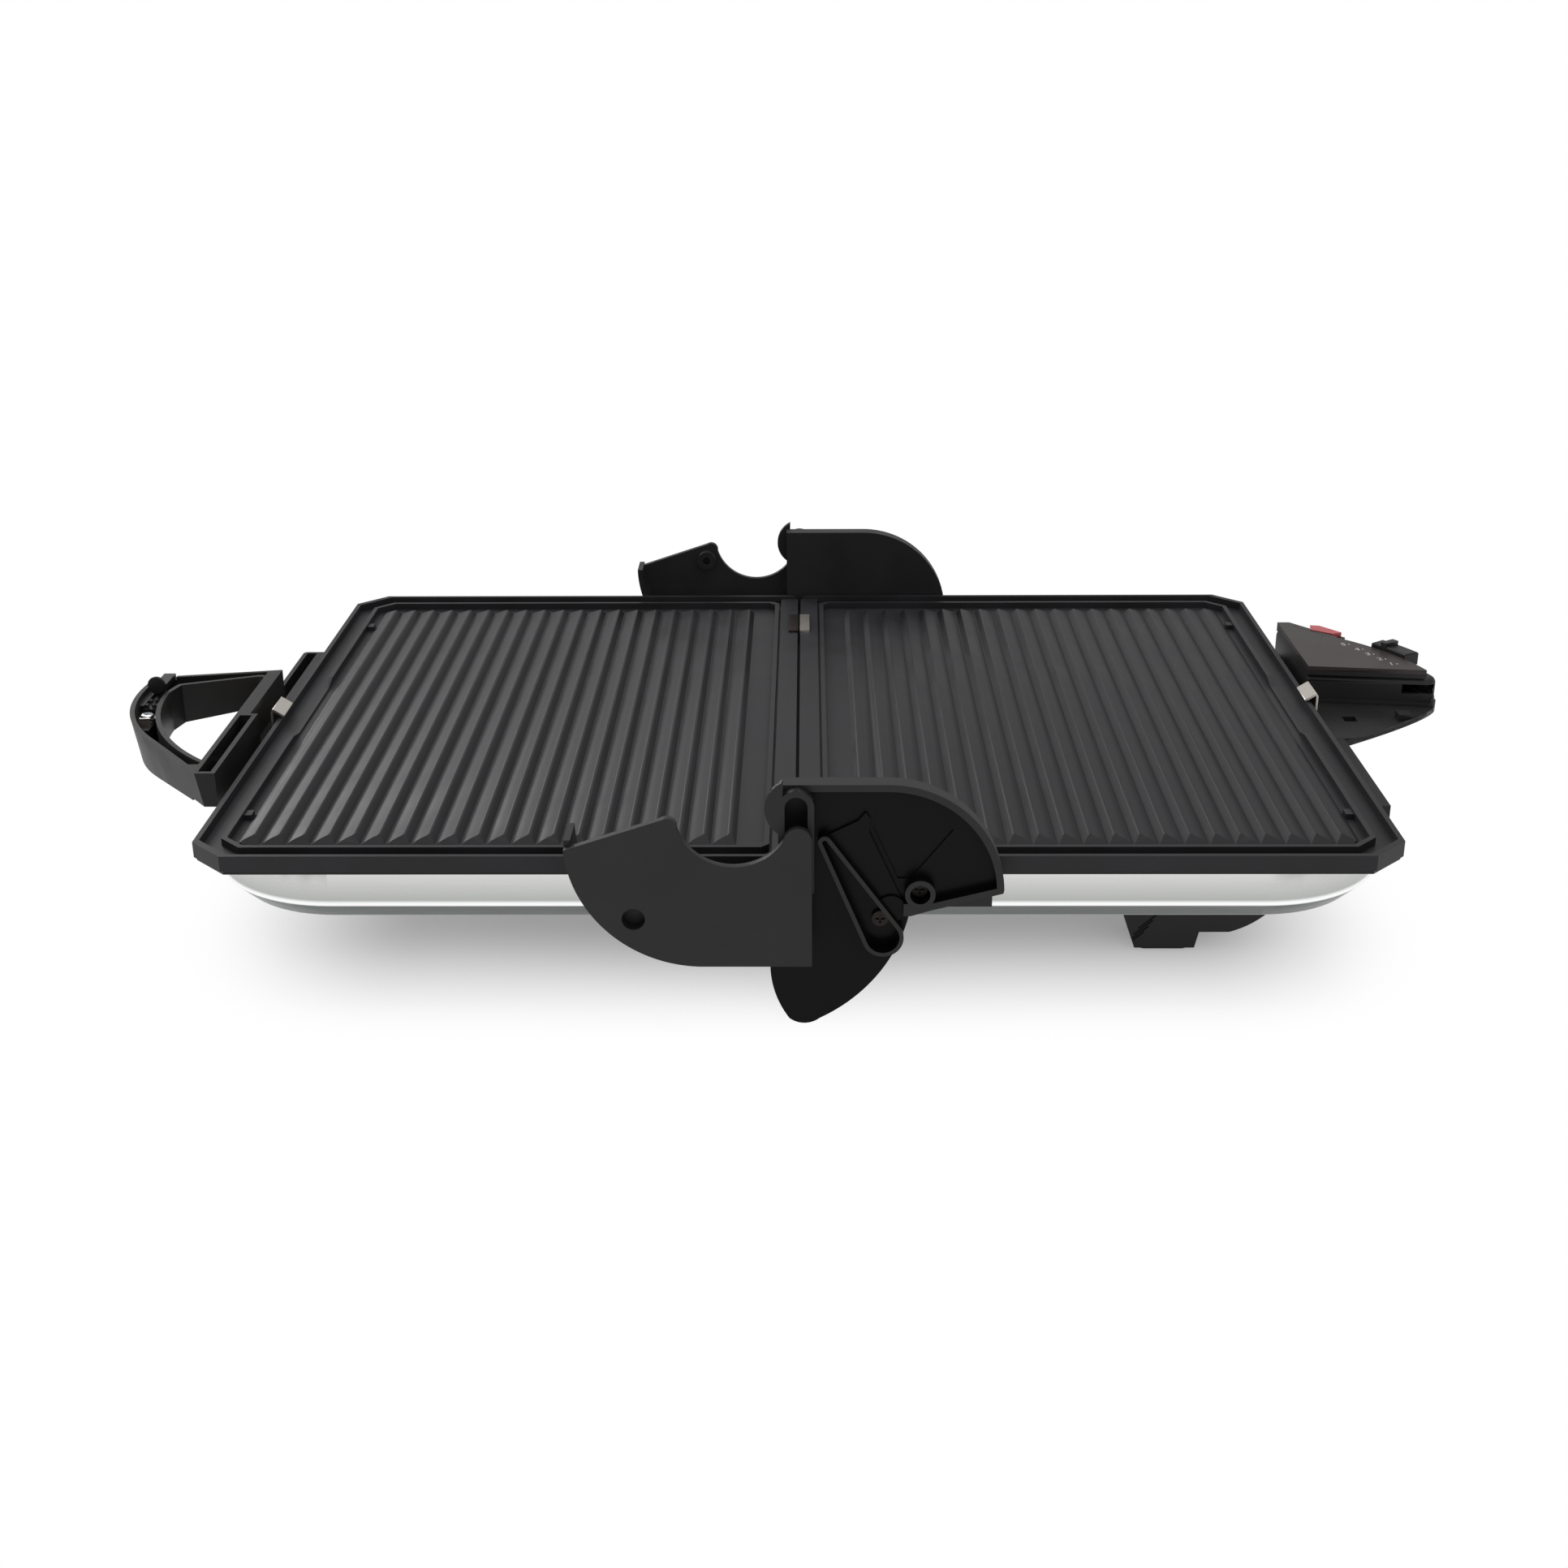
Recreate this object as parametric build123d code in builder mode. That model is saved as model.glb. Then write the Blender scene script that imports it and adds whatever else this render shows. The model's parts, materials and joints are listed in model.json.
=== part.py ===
from math import cos, radians, sin, tan
import os

from build123d import *

# Frame: Z is up from the table, Y runs along the hinge line, which lies over X = 0.
# The base half is on +X and the lid half, opened flat, is on -X.

# The two halves
plate_height = 64.0  # rims of the grill plates above the table
plate_width = 220.0  # hinge line to the outer edge
plate_length = 322.0
plate_depth = 6.0
hinge_gap = 1.3  # between the plates when the grill lies open
outer_corner = 13.0
hinge_corner = 3.0
pivot_rise = 1.5  # hinge pins over the plate rims
float_travel = 20.0  # how far the lid can rise for thick food
running_clearance = 0.3
fit_clearance = 0.06  # a pin in its bore

# Grill plate relief
lip_wall = 2.0
channel_depth = 3.5
hinge_land = 9.0
land_drop = 1.2
inner_rim_inset = 9.3
inner_rim_wall = 2.0
inner_rim_drop = 0.5
inner_rim_corner = 8.4
ridge_pitch = 9.2
ridge_height = 2.8
ridge_steep = 2.2  # width of a ridge's steep side
ridge_gentle = 6.6  # width of its gentle side
ridge_inset = 18.5  # from the plate's end to the ridge's end
ridge_end_slope = 4.0
first_ridge = 24.4
drain_half = 28.0
drain_drop = 2.6
drain_slope = 12.0
lug_width = 5.0

# Hooks and clips that hold the plates
hook_inset = 44.0  # hooks' middle from the plates' ends
hook_length = 26.0
hook_sheet = 1.0
hook_reach = 5.0
hook_height = 0.9
hook_room = 0.5
clip_centre = 9.0
clip_width = 16.0
clip_sheet = 0.9
clip_reach = 2.6  # clip's upright leg out from the plate's edge
clip_drop = 15.0  # its pin under the plate rims
clip_rise = 3.4
clip_hold = 2.2  # how far its tip reaches over the rim
clip_pin_radius = 1.5
clip_eye = 1.2
ear_thickness = 2.0
ear_half_height = 3.5

# Steel pans and the frames that the plates lie on
frame_thickness = 1.5
frame_inset = 0.8
frame_border = 22.0
frame_opening_corner = 20.0
pan_inset = 1.0
pan_depth = 19.5
pan_wall = 1.0
pan_bevel = 7.0
pan_corner = 50.0
pan_hinge_corner = 9.0
post_radius = 3.5
post_hole = 1.5
post_side = 60.0
post_inset = 12.0
screw_head_radius = 3.2
screw_head_height = 1.8
pan_screw_length = 12.0

# Heaters, reflectors, terminal blocks and the thermal fuse
heater_radius = 3.25
heater_bend = 13.0
heater_near = 60.0  # hinge line to the loop
heater_inset = 42.0  # loop in from the plate's edges
heater_end = 16.4  # where the leads meet the terminal block
lead_side = 14.0
block_width = 6.5
block_overhang = 8.0
terminal_radius = 1.8
reflector_wall = 1.0
reflector_near = 18.0
reflector_inset = 20.0
reflector_end_inset = 15.0
reflector_corner = 30.0
fuse_radius = 2.0
fuse_length = 24.0
fuse_x = 40.0

# Side brackets of the base; heights are over the plate rims
web_gap = 4.0  # pan's side to the bracket's web
web_thickness = 3.0
bracket_rim = 2.6
bracket_rim_height = 4.3
arch_x, arch_z = 32.0, -10.0
slot_half = 4.0
slot_wall = 2.3
slot_wall_height = 8.4
slot_floor = 1.5  # what is left of the web behind the slot
slot_spare = 3.0  # free slot over the pin at its highest
lobe_x = 2.75
lobe_tip = 5.5
fin_thickness = 2.9
cup_top = (10.0, 9.9)
cup_bottom = (30.8, -27.1)
cup_top_radius, cup_bottom_radius = 2.4, 7.4
cup_wall = 1.5
cup_height = 5.0
screw_sink = 1.6
plateau_height = 1.4
fan_depth = 0.8
bracket_screws = [(43.8, -10.2), (29.9, -21.7)]
screw_radius = 1.9
screw_hole = 2.1
side_head_radius = 3.0

# Lid arms, drawn as on the base half
arm_gap = 1.6  # slot walls to the arm's inner face
arm_thickness = 3.0
arm_curve_x, arm_curve_z = 33.0, 13.6
arm_curve_radius = 48.0
arm_end_angle = -3.6
arm_tip_rise = 13.8
arm_tip_top = (-0.7, 18.6)
arm_tip_end = (4.3, 14.3)
notch_bottom = (22.0, 4.2)
notch_end = (41.3, 18.5)
shoulder_top = (43.2, 22.2)
shoulder_end = (46.5, 22.0)
arm_foot = (48.0, 73.0)
side_foot = (-18.5, -8.2)  # height of the blocks that stand against the pans' sides
flange_wall = 2.4
flange_end_angle = -0.5
flange_gap = 1.5  # pan's side to the flange's edge
arm_tip = 5.5
arm_hole = (57.3, -15.8)
arm_hole_radius = 4.1
arm_peg = (47.0, 14.4)
arm_screws = [(66.0, -13.0), (54.0, -13.0)]
arm_seat = 3.2
pin_radius = 3.0
pin_cover = 1.0
hub_radius = 5.5
hub_height = 1.1

# Handle and control block: two parts of one rounded triangle
grip_gap = 5.3  # plate's edge to the bar
grip_half = 95.5
grip_end = 8.0  # straight ends of the bar
grip_angle = 38.0  # between the nose's middle and the slanting sides
nose_radius = 100.0
grip_rise = 6.0  # handle's edge and control cover over the plate rims
grip_wall = 2.0
grip_floor = 2.5
grip_lean = 5.0 / 14.0  # how far the outer wall leans out over its height
grip_corner = 6.0
palm_radius = 114.0
palm_inset = 14.5
bar_width = 9.0
set_back = 3.2  # the bar leaves room for the plate clip
set_back_start = -28.0
far_wall_y = 29.2
far_wall_angle = 10.0
nose_floor = -13.0
trim_top = -8.0
trim_depth = 11.0
lid_trim_step = 10.2  # bar's inner edge to the lid trim's outer face
lid_trim_inset = 30.5
lid_trim_border = 2.0
bar_screw_inset = 5.0

# Latch
latch_inset = 5.3  # from the nose's tip
latch_half = 2.9
latch_length = 18.0
latch_back = 15.3  # far end of its plate from the handle's far wall
latch_seat = 0.7
latch_plate = 1.5
latch_travel = 7.0
tongue_half = 2.5
tongue_bottom, tongue_top = 5.0, 7.4
tongue_back = 0.5
tab_half = 2.25
tab_shoulder = 6.4
lip_height = 1.0
lip_width = 2.2
lip_overlap = 0.7
peg_radius = 0.8
guide_drop = 11.0  # guide screw from the latch's near end
guide_inset = 8.0
guide_plate = 1.2
guide_bore = 1.6
washer_radius = 3.4
washer_thickness = 0.8

# Control block
cover_thickness = 2.0
cover_inset = 2.0
shoulder_rise = 2.0
shoulder_round = 3.0
housing_grow = 5.0
housing_wall = 2.5
housing_floor = -26.0
housing_corner = 5.0
deck_drop = -10.0
deck_near = -17.0
deck_step = 5.7
ledge_width = 3.0
ledge_height = 1.2
near_wall_y = 31.3
wall_angle = 7.0
lens_width = 3.0
lens_from_end = 19.5
lens_length = 14.0
lens_gap = 0.15
lamp_radius = 1.6
thermostat_gap = 6.7
thermostat_width = 21.0
spindle_radius = 3.0

# Temperature slider, in degrees about the nose's centre
slider_turn = 10.0
knob_start, knob_end = 24.8, 36.6
pointer_angle = 32.7
pointer_half = 0.9
stem_angle = 30.0
stem_half = 2.0
knob_height = 5.7
knob_gap = 0.3
knob_width = 7.7
stem_offset = 2.2
stem_half_width = 0.9

# Cord gland and feet
gland_offset = 6.7
gland_rise = -18.0
gland_bore = 2.6
gland_depth = 7.0
foot_offset = 27.0
foot_near_inset, foot_far_inset = 76.0, 52.0
pad_thickness = 1.5
sole_start, sole_end = 61.4, 38.0

# Levels and edges that follow
rim = plate_height
half_length = plate_length / 2
frame_top = rim - plate_depth
pan_top = frame_top - frame_thickness
pan_bottom = pan_top - pan_depth
pan_side = half_length - pan_inset
pan_outer = plate_width - pan_inset
pan_inner = hinge_gap / 2 + pan_inset
heater_z = frame_top - running_clearance - heater_radius
reflector_floor = heater_z - heater_radius - running_clearance
hook_centre = half_length - hook_inset
web_inner = pan_side + web_gap
web_outer = web_inner + web_thickness
slot_wall_end = web_outer + slot_wall_height
arm_inner = slot_wall_end + arm_gap
arm_outer = arm_inner + arm_thickness
grip_x = plate_width + grip_gap
bar_outer = grip_x + bar_width

os.makedirs("parts", exist_ok=True)


def save(piece, name):
    piece.label = name
    export_step(piece, f"parts/{name}.step")


def save_for_lid(piece, name):
    """The lid's copy of a base piece is turned half round about Z."""
    with BuildPart() as turned:
        add(piece, rotation=(0, 0, 180))
    save(turned.part, name)


def save_mirrored(piece, name):
    """A piece of the lid that is drawn on the base side and is the mirror image of it."""
    with BuildPart() as other:
        mirror(piece, about=Plane.YZ)
    save(other.part, name)


def save_both_sides(piece, near_name, far_name):
    with BuildPart() as far:
        mirror(piece, about=Plane.XZ)
    save(piece, near_name)
    save(far.part, far_name)


def save_pair(piece, name):
    """A near piece and its mirror image, as two solids in one node."""
    with BuildPart() as pair:
        add(piece)
        mirror(piece, about=Plane.XZ)
    save(pair.part, name)


def block(x, y, z, mode=Mode.ADD):
    """A box from its lower and upper limit along each axis."""
    centre = [(low + high) / 2 for low, high in (x, y, z)]
    size = [high - low for low, high in (x, y, z)]
    with Locations(Vector(*centre)):
        Box(*size, mode=mode)


def side_plane(distance):
    """A plane across the near side at a distance out: X right, height over the rims up."""
    return Plane(origin=(0, -distance, rim), x_dir=(1, 0, 0), z_dir=(0, -1, 0))


def discs(points, radius, mode=Mode.ADD):
    with Locations(*points):
        Circle(radius, mode=mode)


# Grill plates: a cast slab with a lip, a fat channel, an inner rim and ridges
def plate_outline(inset, outer, hinge, mode=Mode.ADD):
    """The plate's outline with its corners cut off, drawn in by an inset."""
    low = hinge_gap / 2 + inset
    high = plate_width - inset
    side = half_length - inset
    Polygon(
        (low + hinge, -side),
        (high - outer, -side),
        (high, -side + outer),
        (high, side - outer),
        (high - outer, side),
        (low + hinge, side),
        (low, side - hinge),
        (low, -side + hinge),
        align=None,
        mode=mode,
    )


def hook_notches(low, high):
    """Room for the hooks in the hinge edge."""
    for end in (-1, 1):
        middle = end * hook_centre
        half = hook_length / 2 + hook_room
        block((0, hook_sheet + 0.9), (middle - half, middle + half), (low, high), Mode.SUBTRACT)


relief_floor = rim - channel_depth
inner_rim_edge = plate_width - inner_rim_inset - inner_rim_wall
ridge_end = half_length - ridge_inset
ridge_count = 1 + int((inner_rim_edge - ridge_gentle - first_ridge) / ridge_pitch)
crown = relief_floor + ridge_height

with BuildPart() as grill_plate:
    with BuildSketch(Plane.XY.offset(frame_top)):
        plate_outline(0, outer_corner, hinge_corner)
    extrude(amount=plate_depth)
    with BuildSketch(Plane.XY.offset(rim)):
        plate_outline(lip_wall, outer_corner, hinge_corner)
        with Locations((hinge_land / 2, 0)):
            Rectangle(hinge_land, plate_length, mode=Mode.SUBTRACT)
    extrude(amount=-channel_depth, mode=Mode.SUBTRACT)
    land_end = half_length - lip_wall
    block((0, hinge_land), (-land_end, land_end), (rim - land_drop, rim + 1), Mode.SUBTRACT)
    with BuildSketch(Plane.XY.offset(relief_floor)):
        plate_outline(inner_rim_inset, inner_rim_corner, hinge_corner)
        plate_outline(
            inner_rim_inset + inner_rim_wall, inner_rim_corner - 1, hinge_corner, Mode.SUBTRACT
        )
    extrude(amount=channel_depth - inner_rim_drop)
    with BuildSketch(Plane.XZ.offset(-ridge_end)):
        for index in range(ridge_count):
            crest = first_ridge + index * ridge_pitch
            with BuildLine():
                rise = Line((crest - ridge_steep, relief_floor), (crest - 0.5, crown - 0.4))
                top = ThreePointArc(rise @ 1, (crest, crown), (crest + 1.0, crown - 0.3))
                fall = ThreePointArc(
                    top @ 1, (crest + 4.2, relief_floor + 1.3), (crest + ridge_gentle, relief_floor)
                )
                Line(fall @ 1, rise @ 0)
            make_face()
    extrude(amount=2 * ridge_end)
    with BuildSketch(Plane.YZ.offset(first_ridge - ridge_pitch / 2)):
        for end in (-1, 1):
            Polygon(
                (end * (ridge_end - ridge_end_slope), rim),
                (end * ridge_end, relief_floor),
                (end * ridge_end, rim),
                align=None,
            )
    extrude(amount=ridge_count * ridge_pitch, mode=Mode.SUBTRACT)
    with BuildSketch(Plane.YZ.offset(inner_rim_edge - 1)):
        Polygon(
            (-drain_half - drain_slope, rim),
            (-drain_half, rim - drain_drop),
            (drain_half, rim - drain_drop),
            (drain_half + drain_slope, rim),
            align=None,
        )
    extrude(amount=inner_rim_wall + 2, mode=Mode.SUBTRACT)
    for end in (-1, 1):
        lug = (end * hook_centre - lug_width / 2, end * hook_centre + lug_width / 2)
        block((inner_rim_edge - 3, inner_rim_edge + 1), lug, (relief_floor, rim - 1.4))
    hook_notches(frame_top, rim)
save(grill_plate.part, "base_grill_plate")
save_for_lid(grill_plate.part, "lid_grill_plate")

# Frames: a ring under the plate's edge with four screw posts down to the pan
posts = [(post_inset + 1, end * (half_length - post_inset)) for end in (-1, 1)]
posts += [(plate_width - post_inset - 2, end * post_side) for end in (-1, 1)]
block_side = lead_side + block_overhang

with BuildPart() as frame:
    with BuildSketch(Plane.XY.offset(pan_top)):
        plate_outline(frame_inset, outer_corner, hinge_corner)
        with Locations(((plate_width + hinge_gap) / 2, 0)):
            RectangleRounded(
                plate_width - 2 * frame_border,
                plate_length - 2 * frame_border,
                frame_opening_corner,
                mode=Mode.SUBTRACT,
            )
    extrude(amount=frame_thickness)
    with BuildSketch(Plane.XY.offset(pan_top)):
        discs(posts, post_radius)
        discs(posts, post_hole, Mode.SUBTRACT)
    extrude(amount=pan_wall - pan_depth)
    block(
        (heater_end - block_width - 0.5, 2 * frame_border),
        (-block_side - 0.5, block_side + 0.5),
        (pan_top - 1, frame_top),
        Mode.SUBTRACT,
    )
    hook_notches(pan_top, frame_top)
save(frame.part, "base_frame")
save_for_lid(frame.part, "lid_frame")

# Steel pans: bent shells with large outer corners and a bevel round the bottom
with BuildPart() as pan:
    with BuildSketch(Plane.XY.offset(pan_top)) as pan_outline:
        with Locations(((pan_inner + pan_outer) / 2, 0)):
            Rectangle(pan_outer - pan_inner, 2 * pan_side)
        fillet(pan_outline.vertices().group_by(Axis.X)[-1], pan_corner)
        fillet(pan_outline.vertices().group_by(Axis.X)[0], pan_hinge_corner)
    extrude(amount=-pan_depth)
    chamfer(pan.edges().group_by(Axis.Z)[0], length=pan_bevel)
    offset(amount=-pan_wall, openings=pan.faces().sort_by(Axis.Z)[-1])
    with BuildSketch(Plane.XY.offset(pan_bottom)):
        discs(posts, post_hole)
    extrude(amount=pan_wall, mode=Mode.SUBTRACT)


def drill_sides(pan_part, screws):
    """The pan with a hole at each screw, through both of its side walls."""
    with BuildPart() as drilled:
        add(pan_part)
        with BuildSketch(side_plane(pan_side + 1)):
            discs(screws, screw_hole)
        extrude(amount=-2 * pan_side - 2, mode=Mode.SUBTRACT)
    return drilled.part


save(drill_sides(pan.part, bracket_screws), "base_pan")
save_for_lid(drill_sides(pan.part, arm_screws), "lid_pan")

# Heaters: a bent tube loop in a shallow reflector tray, with its two ends on a terminal block
loop_far = plate_width - heater_inset
loop_side = half_length - heater_inset - 1

with BuildPart() as heater:
    with BuildLine():
        FilletPolyline(
            (heater_end, -lead_side, heater_z),
            (heater_near, -lead_side, heater_z),
            (heater_near, -loop_side, heater_z),
            (loop_far, -loop_side, heater_z),
            (loop_far, loop_side, heater_z),
            (heater_near, loop_side, heater_z),
            (heater_near, lead_side, heater_z),
            (heater_end, lead_side, heater_z),
            radius=heater_bend,
        )
    with BuildSketch(Plane(origin=(heater_end, -lead_side, heater_z), z_dir=(1, 0, 0))):
        Circle(heater_radius)
    sweep()
save(heater.part, "base_heater")
save_for_lid(heater.part, "lid_heater")

reflector_far = plate_width - reflector_inset
reflector_bottom = reflector_floor - reflector_wall

with BuildPart() as reflector:
    with BuildSketch(Plane.XY.offset(reflector_bottom)):
        with Locations(((reflector_near + reflector_far) / 2, 0)):
            RectangleRounded(
                reflector_far - reflector_near,
                2 * (half_length - reflector_end_inset),
                reflector_corner,
            )
    extrude(amount=pan_top - reflector_bottom)
    offset(amount=-reflector_wall, openings=reflector.faces().sort_by(Axis.Z)[-1])
    with BuildSketch(Plane.YZ.offset(reflector_near - 1)):
        discs([(-lead_side, heater_z), (lead_side, heater_z)], heater_radius + running_clearance)
    extrude(amount=reflector_wall + 2, mode=Mode.SUBTRACT)
save(reflector.part, "base_reflector")
save_for_lid(reflector.part, "lid_reflector")

block_top_z = heater_z + heater_radius
terminal_x = heater_end - block_width / 2

with BuildPart() as terminal_block:
    block(
        (heater_end - block_width, heater_end),
        (-block_side, block_side),
        (pan_bottom + pan_wall, block_top_z),
    )
    with BuildSketch(Plane.XY.offset(block_top_z)):
        with Locations((terminal_x, 0)):
            with GridLocations(1, 5 * terminal_radius, 1, 5):
                Circle(terminal_radius)
    extrude(amount=-2, mode=Mode.SUBTRACT)
save(terminal_block.part, "base_terminal_block")
save_for_lid(terminal_block.part, "lid_terminal_block")

fuse_z = reflector_bottom - fuse_radius - running_clearance

with BuildPart() as thermal_fuse:
    with BuildSketch(Plane.XZ.offset(-fuse_length / 2)):
        discs([(fuse_x, fuse_z)], fuse_radius)
    extrude(amount=fuse_length)
    with BuildSketch(Plane.XZ.offset(-fuse_length / 2 - 2)):
        discs([(fuse_x, fuse_z)], fuse_radius + running_clearance)
    extrude(amount=3)
save(thermal_fuse.part, "thermal_fuse")

with BuildPart() as pan_screws:
    with BuildSketch(Plane.XY.offset(pan_bottom)):
        discs(posts, screw_head_radius)
    extrude(amount=-screw_head_height)
    with BuildSketch(Plane.XY.offset(pan_bottom)):
        discs(posts, post_hole - 0.1)
    extrude(amount=pan_screw_length)
save(pan_screws.part, "base_pan_screws")
save_for_lid(pan_screws.part, "lid_pan_screws")

# Hooks that hold the plates' inner edges, low enough to pass each other when closed
hook_top = rim - land_drop + hook_height

with BuildPart() as plate_hooks:
    for end in (-1, 1):
        along = (end * hook_centre - hook_length / 2, end * hook_centre + hook_length / 2)
        block((0.4, 0.4 + hook_sheet), along, (pan_top - 6, hook_top))
        block((0.4 + hook_sheet, hook_reach), along, (rim - land_drop, hook_top))
save(plate_hooks.part, "base_plate_hooks")
save_for_lid(plate_hooks.part, "lid_plate_hooks")

# Sprung clips at the plates' outer edges, each on a pin in two ears
clip_x = plate_width + clip_reach
clip_pivot_z = rim - clip_drop
clip_top = rim + clip_rise
ear_middle = clip_width / 2 + 0.4 + ear_thickness / 2

with BuildPart() as clip_ears:
    for end in (-1, 1):
        ear = clip_centre + end * ear_middle
        block(
            (pan_outer, clip_x + 2.8),
            (ear - ear_thickness / 2, ear + ear_thickness / 2),
            (clip_pivot_z - ear_half_height, clip_pivot_z + ear_half_height),
        )
    with BuildSketch(Plane.XZ.offset(-clip_centre - ear_middle)):
        discs([(clip_x, clip_pivot_z)], clip_pin_radius)
    extrude(amount=2 * ear_middle)
save(clip_ears.part, "base_clip_ears")
save_for_lid(clip_ears.part, "lid_clip_ears")

with BuildPart() as plate_clip:
    with BuildSketch(Plane.XZ.offset(-clip_centre - clip_width / 2)):
        with BuildLine():
            leg = Polyline(
                (clip_x, clip_pivot_z + 1.9),
                (clip_x, clip_top - 1),
                (clip_x - 0.6, clip_top),
                (plate_width - clip_hold, rim + running_clearance + clip_sheet / 2),
            )
            offset(leg, amount=clip_sheet / 2, side=Side.BOTH)
        make_face()
        discs([(clip_x, clip_pivot_z)], clip_pin_radius + clip_eye)
        discs([(clip_x, clip_pivot_z)], clip_pin_radius + fit_clearance, Mode.SUBTRACT)
    extrude(amount=clip_width)
save(plate_clip.part, "base_plate_clip")
save_for_lid(plate_clip.part, "lid_plate_clip")

# Base brackets: moulded side plates with a rim, the hinge slot and a lobe that stands on the table
slot_top = pivot_rise + float_travel + slot_half + slot_spare
slot_bottom = pivot_rise - 6.3
slot_side = slot_half + slot_wall
bracket_top = slot_top + slot_wall + 0.7
arch_radius = bracket_top - arch_z
bracket_end = arch_x + arch_radius
boss_x, boss_z = bracket_screws[0]
foot_height = (rim + side_foot[0], rim + side_foot[1])
waist = (boss_x - 3.3, boss_z - 8.6)

with BuildSketch() as upper_bracket:
    with BuildLine():
        arch = CenterArc((arch_x, arch_z), arch_radius, 90, -88)
        Polyline(
            arch @ 1,
            (bracket_end - 0.3, arch_z),
            (boss_x + 4.2, boss_z - 6.3),
            waist,
            (-slot_side, waist[1]),
            (-slot_side, bracket_top),
            arch @ 0,
        )
    make_face()

# The foot lobe runs from under the hinge down to its tip on the table.
with BuildSketch() as lobe:
    with BuildLine():
        right = ThreePointArc(waist, (27.5, -46.5), (lobe_x + lobe_tip, 2 - plate_height))
        tip = ThreePointArc(right @ 1, (lobe_x, -plate_height), (lobe_x - lobe_tip, 2 - plate_height))
        left = ThreePointArc(tip @ 1, (-7.0, -54), (-9.5, -42))
        Polyline(left @ 1, (-9.5, -9), (-slot_side, -6), (0, -6), waist)
    make_face()

# The fin stands over the hinge, on the outer part of the slot wall.
with BuildSketch() as fin:
    with BuildLine():
        back = ThreePointArc(
            (-slot_half - 0.5, bracket_top + 2.7), (-10.2, slot_top - 0.5), (-5.0, slot_top - 14.5)
        )
        Line(back @ 1, back @ 0)
    make_face()

# Moulded relief of the web: a raised field beside the cup and a sunk fan beyond it
with BuildSketch() as plateau:
    Polygon(
        (9.7, 10.7), (21.8, 16.8), (24.4, 20.0), (26.0, 17.5), (25.6, 12.5), (37.5, -13.7), (20, -15),
        align=None,
    )

with BuildSketch() as fan:
    with BuildLine():
        fan_arc = ThreePointArc((28.4, 23.0), (43.0, 20.6), (55.3, 12.6))
        Polyline(fan_arc @ 1, (40.5, -6.0), (36.0, -6.0), (26.9, 14.0), fan_arc @ 0)
    make_face()


def upright_slot(half_width, low, high, mode=Mode.ADD):
    """An upright slot over the hinge line, with a round top."""
    with Locations((0, (low + high - half_width) / 2)):
        Rectangle(2 * half_width, high - half_width - low, mode=mode)
    with Locations((0, high - half_width)):
        Circle(half_width, mode=mode)


def cup_outline(shrink):
    """The tapered screw cup: the hull of a small and a large circle."""
    with BuildSketch() as cup:
        discs([cup_top], cup_top_radius - shrink)
        discs([cup_bottom], cup_bottom_radius - shrink)
        make_hull()
    add(cup.sketch)


with BuildPart() as bracket:
    with BuildSketch(side_plane(web_inner)):
        add(upper_bracket.sketch)
        add(lobe.sketch)
    extrude(amount=web_thickness)
    with BuildSketch(side_plane(web_outer)) as rim_sketch:
        add(upper_bracket.sketch)
        offset(rim_sketch.sketch, amount=-bracket_rim, mode=Mode.SUBTRACT)
        with Locations((waist[0] / 2 - slot_side / 2 - 3, waist[1] + 2.8)):
            Rectangle(waist[0] + slot_side + 1, 12, mode=Mode.SUBTRACT)
    extrude(amount=bracket_rim_height)
    with BuildSketch(side_plane(web_outer)):
        add(plateau.sketch)
    extrude(amount=plateau_height)
    with BuildSketch(side_plane(web_outer)):
        discs([(cup_bottom[0] + 2.8, cup_bottom[1] + 10.2)], 5.2)
    extrude(amount=plateau_height + 1.2)
    with BuildSketch(side_plane(web_outer - fan_depth)):
        add(fan.sketch)
    extrude(amount=fan_depth, mode=Mode.SUBTRACT)
    with BuildSketch(side_plane(web_outer)):
        cup_outline(0)
        discs(bracket_screws[:1], side_head_radius + 2.4)
    extrude(amount=cup_height)
    with BuildSketch(side_plane(web_outer - screw_sink)):
        cup_outline(cup_wall)
        discs(bracket_screws[:1], side_head_radius + 0.6)
    extrude(amount=cup_height + screw_sink, mode=Mode.SUBTRACT)
    with BuildSketch(side_plane(web_inner)):
        upright_slot(slot_side, slot_bottom - slot_wall, slot_top + slot_wall)
    extrude(amount=slot_wall_end - web_inner)
    with BuildSketch(side_plane(slot_wall_end - fin_thickness)):
        add(fin.sketch)
    extrude(amount=fin_thickness)
    block((arch_x - 10, arch_x + 38), (-web_inner, -pan_side), foot_height)
    with BuildSketch(side_plane(pan_side)):
        discs(bracket_screws[1:], 6)
    extrude(amount=web_gap)
    with BuildSketch(side_plane(web_inner + slot_floor)):
        upright_slot(slot_half, slot_bottom, slot_top)
    extrude(amount=slot_wall_end - web_inner, mode=Mode.SUBTRACT)
    with BuildSketch(side_plane(pan_side - 1)):
        discs(bracket_screws, screw_hole)
    extrude(amount=web_gap + web_thickness + 1, mode=Mode.SUBTRACT)
save_both_sides(bracket.part, "near_bracket", "far_bracket")


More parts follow.
